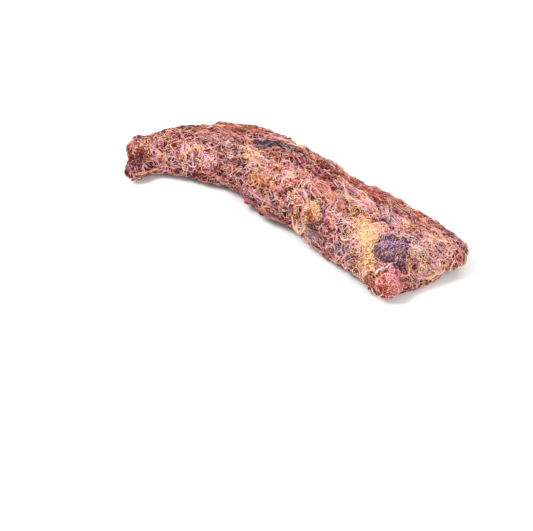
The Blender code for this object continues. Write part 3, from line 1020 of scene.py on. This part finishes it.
def paint(mesh: bpy.types.Mesh, colours: np.ndarray) -> None:
    """Stores one linear colour a vertex.

    Args:
        mesh: the mesh to paint.
        colours: one row of three values a vertex.
    """
    layer = mesh.color_attributes.new(TINT, "BYTE_COLOR", "POINT")
    full = np.ones((len(colours), 4), np.float32)
    full[:, :3] = np.clip(colours, 0, 1)
    layer.data.foreach_set("color", full.ravel())


@dataclass
class Fronds:
    """Fronds of one length as arrays: routes, the skin's normals beside them, radii and colours."""

    routes: np.ndarray
    normals: np.ndarray
    radii: np.ndarray
    colours: np.ndarray

    def only(self, chosen: np.ndarray) -> "Fronds":
        """The fronds that a mask chooses."""
        return Fronds(self.routes[chosen], self.normals[chosen], self.radii[chosen], self.colours[chosen])

    @property
    def triangles(self) -> int:
        """How many triangles their tubes take."""
        count, points, _ = self.routes.shape
        return count * ((points - 1) * SIDES * 2 + 2)

    def mesh(self, name: str) -> bpy.types.Mesh:
        """Builds closed three-sided tubes along the routes.

        Args:
            name: the mesh's name.

        Returns:
            One mesh of all the tubes, painted with their colours.
        """
        count, points, _ = self.routes.shape
        along = unit(np.gradient(self.routes, axis=1))
        across = unit(np.cross(self.normals, along))
        up = np.cross(along, across)
        turns = np.radians([90.0, 210.0, 330.0])
        steps = np.minimum(np.arange(points), np.arange(points)[::-1])
        taper = np.clip(TIP + steps * TIP_SWELL, 0, 1)
        radius = self.radii[:, None, None, None] * taper[None, :, None, None]
        cosines, sines = np.cos(turns)[:, None], np.sin(turns)[:, None]
        ring = across[:, :, None, :] * cosines + up[:, :, None, :] * sines
        corners = (self.routes[:, :, None, :] + ring * radius).reshape(-1, 3)
        first = (np.arange(count) * points * SIDES)[:, None, None]
        row = (np.arange(points - 1) * SIDES)[None, :, None]
        side = np.arange(SIDES)[None, None, :]
        other = (side + 1) % SIDES
        near = first + row
        far = near + SIDES
        quads = np.stack([near + side, near + other, far + other, far + side], axis=-1)
        starts = first[:, :, 0] + np.array([[0, 2, 1]])
        ends = first[:, :, 0] + (points - 1) * SIDES + np.array([[0, 1, 2]])
        quads = quads.reshape(-1, 4)
        caps = np.concatenate([starts, ends])
        made = bpy.data.meshes.new(name)
        made.vertices.add(len(corners))
        made.vertices.foreach_set("co", corners.astype(np.float32).ravel())
        loops = np.concatenate([quads.ravel(), caps.ravel()]).astype(np.int32)
        made.loops.add(len(loops))
        made.loops.foreach_set("vertex_index", loops)
        begin = np.concatenate([np.arange(len(quads)) * 4, len(quads) * 4 + np.arange(len(caps)) * 3])
        made.polygons.add(len(begin))
        made.polygons.foreach_set("loop_start", begin.astype(np.int32))
        made.update(calc_edges=True)
        made.shade_smooth()
        paint(made, np.repeat(self.colours.reshape(-1, 3), SIDES, axis=0))
        return made


def joined(name: str, parts: list[Fronds]) -> bpy.types.Object:
    """Puts fronds of several lengths into one object.

    Args:
        name: the piece's name.
        parts: the fronds.

    Returns:
        The piece, linked to the scene.
    """
    shape = bmesh.new()
    for part in parts:
        if len(part.routes):
            mesh = part.mesh(name)
            shape.from_mesh(mesh)
            bpy.data.meshes.remove(mesh)
    made = bpy.data.meshes.new(name)
    shape.to_mesh(made)
    shape.free()
    return placed(name, made)


@dataclass(frozen=True)
class Layer:
    """How one layer of fronds grows over the skin. Lengths are in metres and angles in radians."""

    name: str
    count: int
    points: int
    step: float = 2.6 * MM
    radius: tuple[float, float] = (0.55 * MM, 0.85 * MM)
    height: tuple[float, float] = (0.4 * MM, 2.6 * MM)
    root: float = 0.8 * MM
    spread: float = 0.7
    follow: float = 0.22
    curl_gain: float = 1.0
    weave: float = 1.5
    level: float = 0.5
    level_spread: float = 0.42
    # How much lighter the points high over the skin and darker the low ones are painted, as painted
    # highlight and shade.
    depth: float = 0.7
    under: float = 0.3
    only_looped: bool = False
    flips: float = 1.0
    pace: tuple[float, float] = (0.05, 0.32)
    bend: tuple[float, float] = (0.6, 2.2)
    pull: tuple[float, float] = (1.6, 1.4)

    def grow(
        self, skin: Skin, patches: PatchMap, draw: np.random.Generator, starts: np.ndarray | None = None
    ) -> tuple[Fronds, np.ndarray]:
        """Grows the layer's fronds over the skin.

        Args:
            skin: the body that they lie on.
            patches: the colours of each place.
            draw: the seeded source of random numbers.
            starts: where they begin, or None for anywhere.

        Returns:
            The fronds and the tone number of each.
        """
        if starts is None:
            starts = skin.scatter(self.count, draw, self.under)
        if self.only_looped:
            starts = starts[patches.curl(starts) > LOOPY]
        count = len(starts)
        place, face = skin.nearest(starts)
        curl = patches.curl(place) * self.curl_gain
        route, normals = self._walk(skin, place, face, curl, draw)
        lift = self._lift(count, draw)
        pick = draw.uniform(0, 1, count)
        spots = route.reshape(-1, 3)
        tones = patches.tones(spots, np.repeat(pick, self.points)).reshape(lift.shape)
        shadow = skin.shadow(spots).reshape(lift.shape)
        light = patches.light(spots).reshape(lift.shape)
        route = settled(smoothed(route) + normals * lift[:, :, None], self.radius[1] * GIRTH)
        height = (lift - self.height[0]) / (self.height[1] - self.height[0]) - 0.5
        # Painted shade low over the skin and in creases, painted highlight high up, and each patch's light.
        level = self.level + self.depth * height - GLOOM * shadow + light
        colours = coloured(tones, level, self.level_spread, draw)
        loopy = np.clip((curl - MATTED) / (LOOPED - MATTED), -0.3, 1)
        radii = draw.uniform(*self.radius, count) * (THIN + (GIRTH - THIN) * loopy)
        return Fronds(route, normals, radii, colours), tones[:, self.points // 2]

    def _walk(
        self, skin: Skin, place: np.ndarray, face: np.ndarray, curl: np.ndarray, draw: np.random.Generator
    ) -> tuple[np.ndarray, np.ndarray]:
        """Leads every frond over the skin, step by step.

        Args:
            skin: the body that they lie on.
            place: where they begin, one a row.
            face: the skin's face at each of these places.
            curl: how strongly each frond curls, in radians a millimetre.
            draw: the seeded source of random numbers.

        Returns:
            The points of each frond and the skin's normals there.
        """
        count = len(place)
        matted = np.clip(curl / MATTED, 0, 1)
        heading = self._first_heading(skin.flow[face], skin.normals[face], matted, draw)
        sway = draw.uniform(0, 2 * math.pi, count)
        pace = draw.uniform(*self.pace, count) * self.step / MM * self.flips
        bend = curl * draw.uniform(*self.bend, count) * self.step / MM
        pull = self.follow * (self.pull[0] - self.pull[1] * matted)
        route = np.empty((count, self.points, 3))
        normals = np.empty_like(route)
        for k in range(self.points):
            normal = skin.normals[face]
            route[:, k], normals[:, k] = place, normal
            turn = bend * np.sin(sway + k * pace) + bend * (1 - self.flips) * np.sign(np.sin(sway))
            flow = skin.flow[face]
            flow = flow * np.sign(np.sum(flow * heading, axis=1, keepdims=True) + 1e-9)
            heading = heading + np.cross(normal, heading) * turn[:, None] + flow * pull[:, None]
            heading = unit(heading - normal * np.sum(heading * normal, axis=1, keepdims=True))
            place, face = skin.nearest(place + heading * self.step)
        return route, normals

    def _first_heading(
        self, flow: np.ndarray, normals: np.ndarray, matted: np.ndarray, draw: np.random.Generator
    ) -> np.ndarray:
        """Turns the flow, either way round, by a random angle that is smaller where fronds lie combed.

        Args:
            flow: the flow where each frond begins.
            normals: the skin's normals there.
            matted: how matted each place is, from 0 to 1.
            draw: the seeded source of random numbers.

        Returns:
            One heading a frond.
        """
        angle = draw.normal(0, self.spread, len(flow)) * (0.25 + 0.75 * matted)
        angle += math.pi * draw.integers(0, 2, len(flow))
        return flow * np.cos(angle)[:, None] + np.cross(normals, flow) * np.sin(angle)[:, None]

    def _lift(self, count: int, draw: np.random.Generator) -> np.ndarray:
        """Draws the height of each point over the skin: weaving up and down, with both ends rooted.

        Args:
            count: how many fronds.
            draw: the seeded source of random numbers.

        Returns:
            Heights in metres, by frond and point.
        """
        steps = np.arange(self.points)
        pace = self.weave * draw.uniform(0.6, 1.4, count)[:, None]
        wave = np.sin(draw.uniform(0, 2 * math.pi, count)[:, None] + steps * pace)
        level = draw.uniform(0, 1, count)[:, None] * 0.5 + 0.5 * (0.5 + 0.5 * wave)
        low, high = self.height
        arch = np.clip(np.minimum(steps, steps[::-1]) / 2.0, 0, 1)[None, :]
        return (low + (high - low) * level) * arch - self.root * (1 - arch)


def smoothed(route: np.ndarray) -> np.ndarray:
    """Rounds the small kinks that come from the skin's faces."""
    inner = route[:, 1:-1] * 0.5 + (route[:, :-2] + route[:, 2:]) * 0.25
    return np.concatenate([route[:, :1], inner, route[:, -1:]], axis=1)


def settled(route: np.ndarray, height: float) -> np.ndarray:
    """Keeps the middle of each frond at a height over the floor or above it."""
    route[:, :, 2] = np.maximum(route[:, :, 2], height)
    return route


def coloured(tones: np.ndarray, level: np.ndarray, spread: float, draw: np.random.Generator) -> np.ndarray:
    """A colour for each point of some fronds.

    Args:
        tones: the tone number of each point, by frond and point.
        level: how light each point is, by frond and point.
        spread: how much the level differs from frond to frond.
        draw: the seeded source of random numbers.

    Returns:
        Linear colours, by frond and point.
    """
    count, points = level.shape
    level = level + draw.normal(0, spread, count)[:, None] + draw.normal(0, POINT_SPREAD, level.shape)
    base = TONE_LIGHT[tones] * (1 + draw.normal(0, 1, (count, 1, 3)) * TONE_SPREAD)
    return shaded(base.reshape(-1, 3), level.ravel()).reshape(count, points, 3)


@dataclass(frozen=True)
class Skein:
    """A bundle of fronds that runs along a line of points on the skin, in millimetres."""

    name: str
    line: Line
    tones: tuple[Tone, ...]
    count: int
    width: float
    radius: tuple[float, float] = (0.4, 0.6)
    length: tuple[float, float] = (0.4, 0.8)
    lift: tuple[float, float] = (1.2, 3.2)
    level: float = 0.8
    points: int = 16
    free: bool = False
    root: float = 0.4
    shoulder: float = 0.6
    level_spread: float = 0.28
    wander: float = 0.35
    sway_light: float = 0.12
    foot_shade: float = 0.3

    def build(self, skin: Skin, draw: np.random.Generator) -> tuple[Fronds, np.ndarray]:
        """Lays the bundle on the skin.

        Args:
            skin: the body that it lies on.
            draw: the seeded source of random numbers.

        Returns:
            The fronds and the tone number of each.
        """
        share = draw.uniform(*self.length, self.count)
        first = draw.uniform(0, 1, self.count) * (1 - share)
        times = first[:, None] + share[:, None] * np.linspace(0, 1, self.points)
        along, heading = self._curve(times)
        _, face = skin.nearest(along.reshape(-1, 3))
        normals = skin.normals[face].reshape(along.shape)
        across = unit(np.cross(normals, heading))
        pace = draw.uniform(4, 11, self.count)[:, None]
        sway = np.sin(times * pace + draw.uniform(0, 6.3, self.count)[:, None])
        beside = draw.uniform(-1, 1, self.count)[:, None] + self.wander * sway
        offset = beside * self.width * MM / 2
        spots = (along + across * offset[:, :, None]).reshape(-1, 3)
        if not self.free:
            spots, face = skin.nearest(spots)
            normals = skin.normals[face].reshape(along.shape)
        low, high = self.lift
        lift = (low + (high - low) * draw.uniform(0, 1, self.count)[:, None]) * MM * np.ones(self.points)
        lift[:, [0, -1]] = -self.root * MM
        lift[:, [1, -2]] *= self.shoulder
        route = smoothed(spots.reshape(along.shape) + normals * lift[:, :, None])
        route = settled(route, self.radius[1] * MM)
        tones = draw.choice([TONES.index(tone) for tone in self.tones], self.count)
        # Lightness along the bundle, with its feet near the skin painted darker as shade.
        level = self.level + self.sway_light * sway - self.foot_shade * (lift < MM)
        radii = draw.uniform(*self.radius, self.count) * MM
        each = np.repeat(tones[:, None], self.points, axis=1)
        colours = coloured(each, level, self.level_spread, draw)
        return Fronds(route, normals, radii, colours), tones

    def _curve(self, times: np.ndarray) -> tuple[np.ndarray, np.ndarray]:
        """Runs a smooth curve through the line's points.

        Args:
            times: how far along the line, from 0 to 1.

        Returns:
            The places on the curve and its headings there.
        """
        knots = np.array(self.line, float) * MM
        knots = np.concatenate([knots[:1] * 2 - knots[1:2], knots, knots[-1:] * 2 - knots[-2:-1]])
        span = np.clip(times, 0, 0.9999) * (len(self.line) - 1)
        which = span.astype(int)
        t = (span - which)[..., None]
        a, b, c, d = (knots[which + k] for k in range(4))
        bend = 2 * a - 5 * b + 4 * c - d
        twist = 3 * b - a - 3 * c + d
        place = b + ((c - a) * t + bend * t**2 + twist * t**3) / 2
        heading = ((c - a) + bend * 2 * t + twist * 3 * t**2) / 2
        return place, unit(heading)


PALE_CURLS = (
    ((7, -13, 34), (9, -15, 32), (13, -16, 32), (21, -21, 35), (25, -21, 35), (27, -18, 36), (23, -13, 39),
     (17, -10, 39), (13, -8, 40), (7, -5, 43), (11, -3, 47)),
    ((4, -17, 27), (4, -16, 33), (5, -12, 35), (10, -13, 38), (16, -15, 38), (21, -16, 37), (25, -17, 37)),
    ((0, -21, 24), (-2, -17, 25), (-1, -14, 27), (-5, -13, 27), (-10, -11, 28), (-13, -9, 31),
     (-12, -9, 35), (-9, -8, 37), (-7, -10, 36)),
    ((-15, -13, 27), (-18, -10, 29), (-20, -6, 32), (-18, -5, 36), (-22, 0, 38)),
    ((-3, -4, 43), (-7, -2, 46), (-7, 2, 48), (-7, 9, 46), (-5, 13, 46), (-3, 18, 48)),
    ((21, -5, 47), (23, -7, 43), (28, -11, 41), (27, -14, 39)),
    ((-20, 17, 46), (-15, 15, 46), (-10, 14, 47), (-5, 10, 46)),
    ((-141, 11, 42), (-137, 6, 38), (-139, 6, 31), (-137, 5, 27), (-131, 3, 26), (-126, 3, 25),
     (-125, 5, 27), (-129, 5, 29), (-134, 6, 30), (-135, 6, 37)),
    ((-154, 24, 37), (-153, 19, 34), (-153, 15, 32), (-144, 8, 37), (-140, 6, 35), (-138, 7, 32)),
    ((-144, 17, 41), (-134, 6, 43), (-132, 7, 38), (-134, 7, 33)),
    ((-138, 22, 43), (-132, 18, 42), (-128, 16, 41), (-124, 11, 39), (-124, 9, 38)),
    ((-162, 25, 39), (-161, 23, 37), (-163, 17, 37), (-162, 15, 34), (-159, 14, 33), (-154, 11, 33)),
    ((-157, 8, 25), (-161, 6, 26), (-164, 9, 28)),
    ((-134, 4, 24), (-132, 2, 22), (-137, 3, 18), (-140, 3, 19), (-140, 4, 21)),
    ((-167, 18, 36), (-170, 15, 34), (-169, 13, 31), (-165, 14, 31)),
    ((-125, 29, 41), (-119, 25, 41), (-113, 20, 41)),
    ((-114, 5, 31), (-113, 6, 37), (-109, 7, 39), (-105, 5, 38), (-105, 10, 40)),
)

SKEINS = (
    Skein("cream_bundle", ((-152, 24, 42), (-138, 6, 44), (-128, -1, 38), (-122, -4, 26)),
          (Tone.BLUSH, Tone.PINK), 24, 10, (0.5, 0.66), lift=(2.2, 4.2), level=0.85),
    Skein("cream_side", ((-165, 22, 40), (-150, 16, 42), (-140, 2, 38), (-142, -4, 28)),
          (Tone.BLUSH, Tone.PINK), 18, 9, (0.5, 0.66), lift=(2.0, 4.0), level=0.85),
    Skein("ridge_comb", ((-174, 28, 44), (-146, 50, 47), (-115, 66, 50), (-72, 60, 58), (-36, 56, 57)),
          (Tone.RUST, Tone.BLUSH, Tone.BRICK, Tone.OCHRE), 46, 16, level=0.42),
    Skein("ridge_low", ((-151, 38, 44), (-112, 50, 48), (-84, 44, 54), (-64, 38, 53)),
          (Tone.BRICK, Tone.RUST, Tone.ROSE), 22, 7, level=0.4),
    Skein("ridge_tan", ((-162, 40, 43), (-136, 53, 45), (-110, 57, 50), (-79, 50, 56)),
          (Tone.OCHRE, Tone.BLUSH, Tone.BRICK, Tone.ROSE), 24, 7, level=0.42),
    Skein("hollow_rim", ((-66, 42, 53), (-46, 51, 60), (-13, 50, 60), (14, 44, 57)),
          (Tone.ROSE, Tone.RUST, Tone.BLUSH), 20, 6, level=0.6),
    Skein("peach", ((-74, 26, 53), (-58, 20, 52), (-36, 14, 45)), (Tone.BLUSH, Tone.CREAM, Tone.SALMON), 26,
          15, level=0.85),
    Skein("orange_comb", ((8, 14, 52), (37, -2, 54), (56, -9, 49), (81, -25, 49)),
          (Tone.ORANGE, Tone.SALMON, Tone.RUST, Tone.CORAL), 34, 15, level=0.6),
    Skein("salmon_comb", ((35, 28, 54), (63, 11, 56), (90, -1, 53), (113, -15, 50)),
          (Tone.SALMON, Tone.PINK, Tone.LILAC, Tone.BLUSH), 34, 16, level=0.75),
    Skein("white_frond", ((28, -4, 54), (31, -8, 49), (39, -13, 47)), (Tone.BLUSH,), 3, 1.8, (0.7, 0.85),
          (1, 1), (3, 4.5), 1.0),
    Skein("pink_loop_a", ((10, -22, 36), (10, -8, 44), (20, -9, 47), (28, -22, 45), (14, -24, 36)),
          (Tone.PINK, Tone.BLUSH), 7, 4, (0.48, 0.62), (0.6, 0.9), level=0.95),
    Skein("pink_loop_b", ((-10, -10, 38), (-3, -2, 46), (5, -4, 44), (5, -14, 36)), (Tone.PINK, Tone.BLUSH),
          6, 4, (0.48, 0.62), (0.6, 0.9), level=0.95),
    Skein("crimson", ((56, -30, 46), (69, -37, 43), (77, -45, 36), (79, -53, 26)),
          (Tone.CRIMSON, Tone.MAGENTA, Tone.PINK), 16, 8, level=0.6),
    Skein("hanging", ((58, -48, 30), (67, -54, 20), (69, -58, 10), (64, -57, 14), (60, -50, 24)),
          (Tone.CORAL, Tone.MAGENTA), 6, 3, (0.55, 0.72), (0.6, 1), level=0.7),
    Skein("gold_loops", ((16, -28, 30), (21, -35, 20), (29, -42, 15), (36, -46, 26), (30, -38, 34)),
          (Tone.GOLD, Tone.CREAM), 9, 5, (0.48, 0.62), (0.5, 0.9), level=0.8),
    Skein("gold_ends", ((124, -72, 36), (131, -82, 28), (139, -88, 18), (146, -91, 12)),
          (Tone.GOLD, Tone.CREAM, Tone.ORANGE), 14, 7, level=0.7),
    Skein("ring", ((106, -62, 28), (100, -65, 24), (101, -74, 16), (108, -79, 12), (115, -79, 17)),
          (Tone.PINK, Tone.MAGENTA), 7, 2.5, (0.55, 0.7), (0.7, 1), level=0.8),
    Skein("under_loop", ((137, -88, 26), (142, -95, 20), (149, -98, 16), (155, -99, 13), (160, -96, 14),
          (160, -92, 18), (155, -93, 22)), (Tone.BLUSH, Tone.CREAM), 6, 2.4, (0.75, 0.95), (0.7, 1), (0, 1),
          0.62, 18, True),
    Skein("ochre_streak", ((165, -54, 38), (173, -59, 36), (176, -64, 29), (176, -70, 22)),
          (Tone.OCHRE, Tone.GOLD), 12, 3, level=0.65),
    Skein("red_loop_a", ((146, -76, 30), (156, -70, 33), (164, -76, 32), (158, -84, 30), (150, -82, 29)),
          (Tone.SALMON, Tone.CORAL), 4, 5, (0.5, 0.68), (0.5, 0.9), level=0.85),
    Skein("red_loop_b", ((160, -92, 20), (168, -84, 27), (172, -76, 28), (166, -72, 31), (162, -80, 30)),
          (Tone.PINK, Tone.CORAL), 4, 5, (0.5, 0.68), (0.5, 0.9), level=0.8),
    Skein("red_fall", ((140, -76, 28), (147, -86, 27), (154, -92, 20), (164, -95, 12)),
          (Tone.CORAL, Tone.CRIMSON, Tone.PINK), 10, 8, (0.48, 0.66), (0.4, 0.8), level=0.6),
    Skein("near_lip", ((-73, -6, 17), (-52, -17, 19), (-32, -25, 19), (-1, -34, 18), (22, -40, 14)),
          (Tone.ROSE, Tone.MAUVE, Tone.BRICK, Tone.BLUSH), 22, 5, level=0.3),
    Skein("fold", ((-58, -5, 34), (-43, -12, 29), (-26, -14, 22), (0, -21, 20)),
          (Tone.PINK, Tone.BLUSH, Tone.ROSE), 12, 4, level=0.75),
    Skein("rim_comb", ((-13, 48, 60), (46, 31, 58), (101, 20, 50), (156, 8, 44), (196, 12, 26)),
          (Tone.RUST, Tone.BRICK, Tone.ORANGE, Tone.ROSE), 90, 20, length=(0.12, 0.3), level=0.5),
    Skein("end_comb", ((125, 4, 47), (160, 0, 40), (196, -4, 32)), (Tone.ROSE, Tone.BLUSH, Tone.PINK), 30,
          16, level=0.7),
    Skein("cream_low", ((180, -60, 24), (194, -46, 14), (206, -30, 14)),
          (Tone.CREAM, Tone.BLUSH, Tone.SALMON), 14, 8, level=0.8),
    Skein("lilac_curl", ((-121, 13, 39), (-111, 8, 40), (-114, 3, 34), (-105, 5, 36)),
          (Tone.LILAC, Tone.PINK), 7, 4, level=0.95),
    Skein("cream_bit_a", ((89, -51, 36), (95, -54, 35), (101, -52, 37)), (Tone.GOLD, Tone.CREAM), 3, 1.4,
          (1.0, 1.2), (0.9, 1), (4, 5.5), 0.65),
    Skein("cream_bit_b", ((146, -82, 25), (148, -79, 28), (149, -73, 30)), (Tone.CREAM,), 6, 2.6,
          (1.0, 1.3), (0.6, 1), (6, 7.6), 0.72),
    Skein("cream_bit_c", ((150, -78, 28), (153, -75, 29), (156, -69, 29)), (Tone.CREAM,), 5, 2.4,
          (0.9, 1.2), (0.6, 1), (6, 7.6), 0.72),
    Skein("pale_specks", ((167, -31, 42), (173, -31, 41), (178, -33, 39)), (Tone.SLATE, Tone.LILAC), 5, 5,
          length=(0.2, 0.4), level=1.1),
    Skein("left_lip", ((-191, -33, 16), (-181, -24, 15), (-174, -12, 13), (-161, -7, 13), (-144, -6, 15)),
          (Tone.ROSE, Tone.CRIMSON, Tone.BLUSH), 14, 4, level=0.65),
    Skein("left_loops", ((-190, 4, 28), (-180, 3, 33), (-173, 2, 29), (-176, -5, 24), (-186, -6, 26)),
          (Tone.BLUSH, Tone.SALMON), 9, 4, (0.48, 0.62), (0.5, 0.9), level=0.85),
) + tuple(
    Skein("pale_curl", line, (Tone.BLUSH, Tone.PINK), 2, 1.4, (0.5, 0.66), (0.85, 1), (3.0, 4.0), 1.0, 30)
    for line in PALE_CURLS
)


class Family(Enum):
    """Groups of tones that make one piece of the mat, each with the record's slot for it."""

    ROSE = ("rose_fronds", "mat_fronds", (Tone.ROSE, Tone.MAGENTA))
    SALMON = ("salmon_fronds", "mat_fronds", (Tone.SALMON, Tone.CORAL))
    BRICK = ("brick_fronds", "mat_fronds", (Tone.BRICK, Tone.WINE, Tone.CRIMSON))
    PINK = ("pink_fronds", "mat_fronds", (Tone.PINK, Tone.BLUSH, Tone.CREAM))
    RUST = ("rust_fronds", "mat_fronds", (Tone.RUST, Tone.ORANGE, Tone.GOLD, Tone.OCHRE))
    MAUVE = ("mauve_fronds", "mauve_fronds", (Tone.MAUVE, Tone.LILAC, Tone.PLUM, Tone.INDIGO, Tone.SLATE))

    @property
    def members(self) -> list[int]:
        """The numbers of the family's tones."""
        return [TONES.index(tone) for tone in self.value[2]]


@dataclass
class Mat:
    """The pad's own fronds, in layers from the pressed bed to the loose curls on top."""

    seed: int = 11
    # The bed is painted dark, as shade under the other layers, and the loose and looped fronds pale, partly
    # as painted highlight.
    layers: tuple[Layer, ...] = (
        Layer("bed", 1100, 11, 3.4 * MM, (0.7 * MM, 1.0 * MM), (0.1 * MM, 1.0 * MM), spread=1.3,
              level=0.02),
        Layer("main", 6560, 13, 2.1 * MM, (0.44 * MM, 0.64 * MM), (0.3 * MM, 2.6 * MM), level=0.42,
              depth=1.3, under=0.26),
        Layer("loose", 2800, 12, 2.0 * MM, (0.38 * MM, 0.56 * MM), (1.4 * MM, 3.2 * MM), curl_gain=1.3,
              level=0.8, under=0.1),
        Layer("loops", 3600, 13, 1.9 * MM, (0.52 * MM, 0.68 * MM), (2.0 * MM, 3.6 * MM), level=0.95,
              under=0.0, only_looped=True, flips=0.3),
    )

    def build(self, skin: Skin, patches: PatchMap) -> None:
        """Grows all layers and sorts the fronds into one piece a family.

        Args:
            skin: the body that they lie on.
            patches: the colours of each place.
        """
        draw = np.random.default_rng(self.seed)
        grown = [layer.grow(skin, patches, draw) for layer in self.layers]
        grown += [skein.build(skin, draw) for skein in SKEINS]
        for family in Family:
            name, slot, _ = family.value
            parts = [fronds.only(np.isin(tones, family.members)) for fronds, tones in grown]
            piece = joined(name, parts)
            self.dress(piece, slot)
            LOG.info("%s: %d triangles", name, sum(part.triangles for part in parts))

    def dress(self, piece: bpy.types.Object, slot: str) -> None:
        """Gives a piece of the mat its finish and says what it rides on and stands for.

        Args:
            piece: the piece.
            slot: the record's slot for the piece; not used.
        """
        piece.data.materials.append(FrondFinish(piece.name + "_finish").make())
        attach(piece, "root")
        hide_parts("moss_mat")


@dataclass(frozen=True)
class Tuft:
    """A tuft of one colour: short curly fronds heaped over its node."""

    node: str
    slot: str
    tones: dict[Tone, float]
    count: int = 170
    seed: int = 1
    level: float = 0.55
    radius: tuple[float, float] = (0.5 * MM, 0.75 * MM)
    curl_gain: float = 2.2
    reach: float = 1.5 * MM
    part: float = 1.0
    foot: float = 0.35

    def build(self, skin: Skin) -> None:
        """Grows the tuft's fronds over the node's place.

        Args:
            skin: the body that they lie on.
        """
        draw = np.random.default_rng(self.seed)
        places = np.array([vertex.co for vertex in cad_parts[self.node].data.vertices])
        top = places[places[:, 2] > np.quantile(places[:, 2], self.foot)]
        top = top[top[:, 0] <= np.quantile(top[:, 0], self.part)]
        starts = top[draw.integers(0, len(top), self.count)] + draw.normal(0, self.reach, (self.count, 3))
        own = PatchMap(patches=(), base=self.tones)
        layer = Layer(
            self.node, self.count, 13, 2.0 * MM, self.radius, (0.8 * MM, 3.4 * MM),
            spread=1.4, follow=0.05, curl_gain=self.curl_gain, level=self.level, level_spread=0.4,
            depth=0.9,
        )
        fronds, _ = layer.grow(skin, own, draw, starts)
        piece = joined(self.node + "_fronds", [fronds])
        self.dress(piece)
        LOG.info("%s: %d triangles", piece.name, fronds.triangles)

    def dress(self, piece: bpy.types.Object) -> None:
        """Gives the tuft's piece its finish and says what it rides on and stands for.

        Args:
            piece: the tuft's fronds.
        """
        piece.data.materials.append(FrondFinish(self.node + "_finish").make())
        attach(piece, "root")
        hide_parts(self.node)


TUFTS = (
    Tuft("golden_tuft", "golden_fronds", mix(gold=0.85, cream=0.05, orange=0.1), 230, 21, 0.48),
    Tuft("ochre_tuft", "ochre_fronds", mix(ochre=0.5, gold=0.4, orange=0.1), 190, 22, 0.4),
    Tuft("plum_tuft", "plum_fronds", mix(indigo=0.42, plum=0.3, slate=0.1, mauve=0.18), 330, 23, 0.16,
         (0.42 * MM, 0.6 * MM), 2.6),
    Tuft("red_curl_tuft", "red_fronds", mix(coral=0.55, salmon=0.2, brick=0.15, pink=0.1), 220, 24, 0.24,
         (0.55 * MM, 0.8 * MM), 1.7),
    Tuft("mauve_tuft", "mauve_fronds", mix(mauve=0.3, rust=0.3, brick=0.4), 150, 25, 0.02),
    Tuft("cream_tuft", "cream_fronds", mix(salmon=0.3, pink=0.35, rose=0.35), 120, 26, 0.12, curl_gain=1.6,
         reach=6 * MM),
    Tuft("amber_tuft", "amber_fronds", mix(orange=0.5, gold=0.3, rust=0.2), 90, 27, 0.42, reach=2.5 * MM,
         part=0.5),
)


@dataclass(frozen=True)
class Lamp:
    """A square area light that faces the pad: its place and side in metres and its power in watts."""

    name: str
    place: tuple[float, float, float]
    side: float
    power: float

    def build(self) -> None:
        """Hangs the light."""
        data = bpy.data.lights.new(self.name, "AREA")
        data.size = self.side
        data.energy = self.power
        light = placed(self.name, data)
        light.location = self.place
        light.rotation_mode = "QUATERNION"
        light.rotation_quaternion = Vector(self.place).to_track_quat("Z", "Y")


@dataclass(frozen=True)
class Stage:
    """The plain floor, the soft studio light and the camera at the photograph's angle."""

    azimuth: float = math.radians(28)
    elevation: float = math.radians(38)
    distance: float = 1.9
    pixel: float = 1.1 * MM
    frame_width: int = 533
    sensor: float = 36.0
    aim_right: float = -27 * MM
    aim_away: float = -92 * MM
    floor_size: float = 6.0
    lamps: tuple[Lamp, ...] = (
        Lamp("key", (-0.9, -0.9, 1.7), 0.9, 48),
        Lamp("fill", (1.5, -0.7, 1.1), 1.2, 24),
        Lamp("rim", (0.2, 1.4, 1.2), 1.0, 14),
    )
    surround: tuple[float, float, float, float] = (1.0, 0.985, 0.97, 1.0)
    surround_strength: float = 0.74

    def build(self) -> None:
        """Builds everything that isn't part of the object."""
        self._floor()
        self._camera()
        self._lights()

    def _floor(self) -> None:
        """A large plane under the pad."""
        shape = bmesh.new()
        bmesh.ops.create_grid(shape, x_segments=1, y_segments=1, size=self.floor_size / 2)
        mesh = bpy.data.meshes.new("floor")
        shape.to_mesh(mesh)
        shape.free()
        floor = placed("floor", mesh)
        mesh.materials.append(FloorFinish().make())

    def _camera(self) -> None:
        """The camera, looking down on the pad."""
        right = Vector((math.cos(self.azimuth), math.sin(self.azimuth), 0))
        away = Vector((-math.sin(self.azimuth), math.cos(self.azimuth), 0))
        back = -away * math.cos(self.elevation) + Vector((0, 0, math.sin(self.elevation)))
        aim = right * self.aim_right + away * self.aim_away
        camera = placed("camera", bpy.data.cameras.new("camera"))
        camera.location = aim + back * self.distance
        camera.rotation_mode = "QUATERNION"
        camera.rotation_quaternion = back.to_track_quat("Z", "Y")
        camera.data.sensor_width = self.sensor
        camera.data.lens = self.sensor * self.distance / (self.frame_width * self.pixel)
        bpy.context.scene.camera = camera

    def _lights(self) -> None:
        """A large soft key from the upper left, a weaker fill, and a pale surround."""
        for lamp in self.lamps:
            lamp.build()
        world = bpy.data.worlds.new("surround")
        world.use_nodes = True
        background = world.node_tree.nodes["Background"]
        background.inputs["Color"].default_value = self.surround
        background.inputs["Strength"].default_value = self.surround_strength
        bpy.context.scene.world = world
        bpy.context.scene.view_settings.view_transform = "Standard"


def main() -> None:
    """Builds the pad's body, its fronds and the stage, in that order."""
    logging.basicConfig(level=logging.INFO, format="%(message)s")
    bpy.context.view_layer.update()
    patches = PatchMap()
    skin = Skin()
    felt = skin.build(patches)
    skin.dress(felt)
    LOG.info("felt_bed: %d faces", len(felt.data.polygons))
    Mat().build(skin, patches)
    for tuft in TUFTS:
        tuft.build(skin)
    Stage().build()


if __name__ == "__main__":
    main()
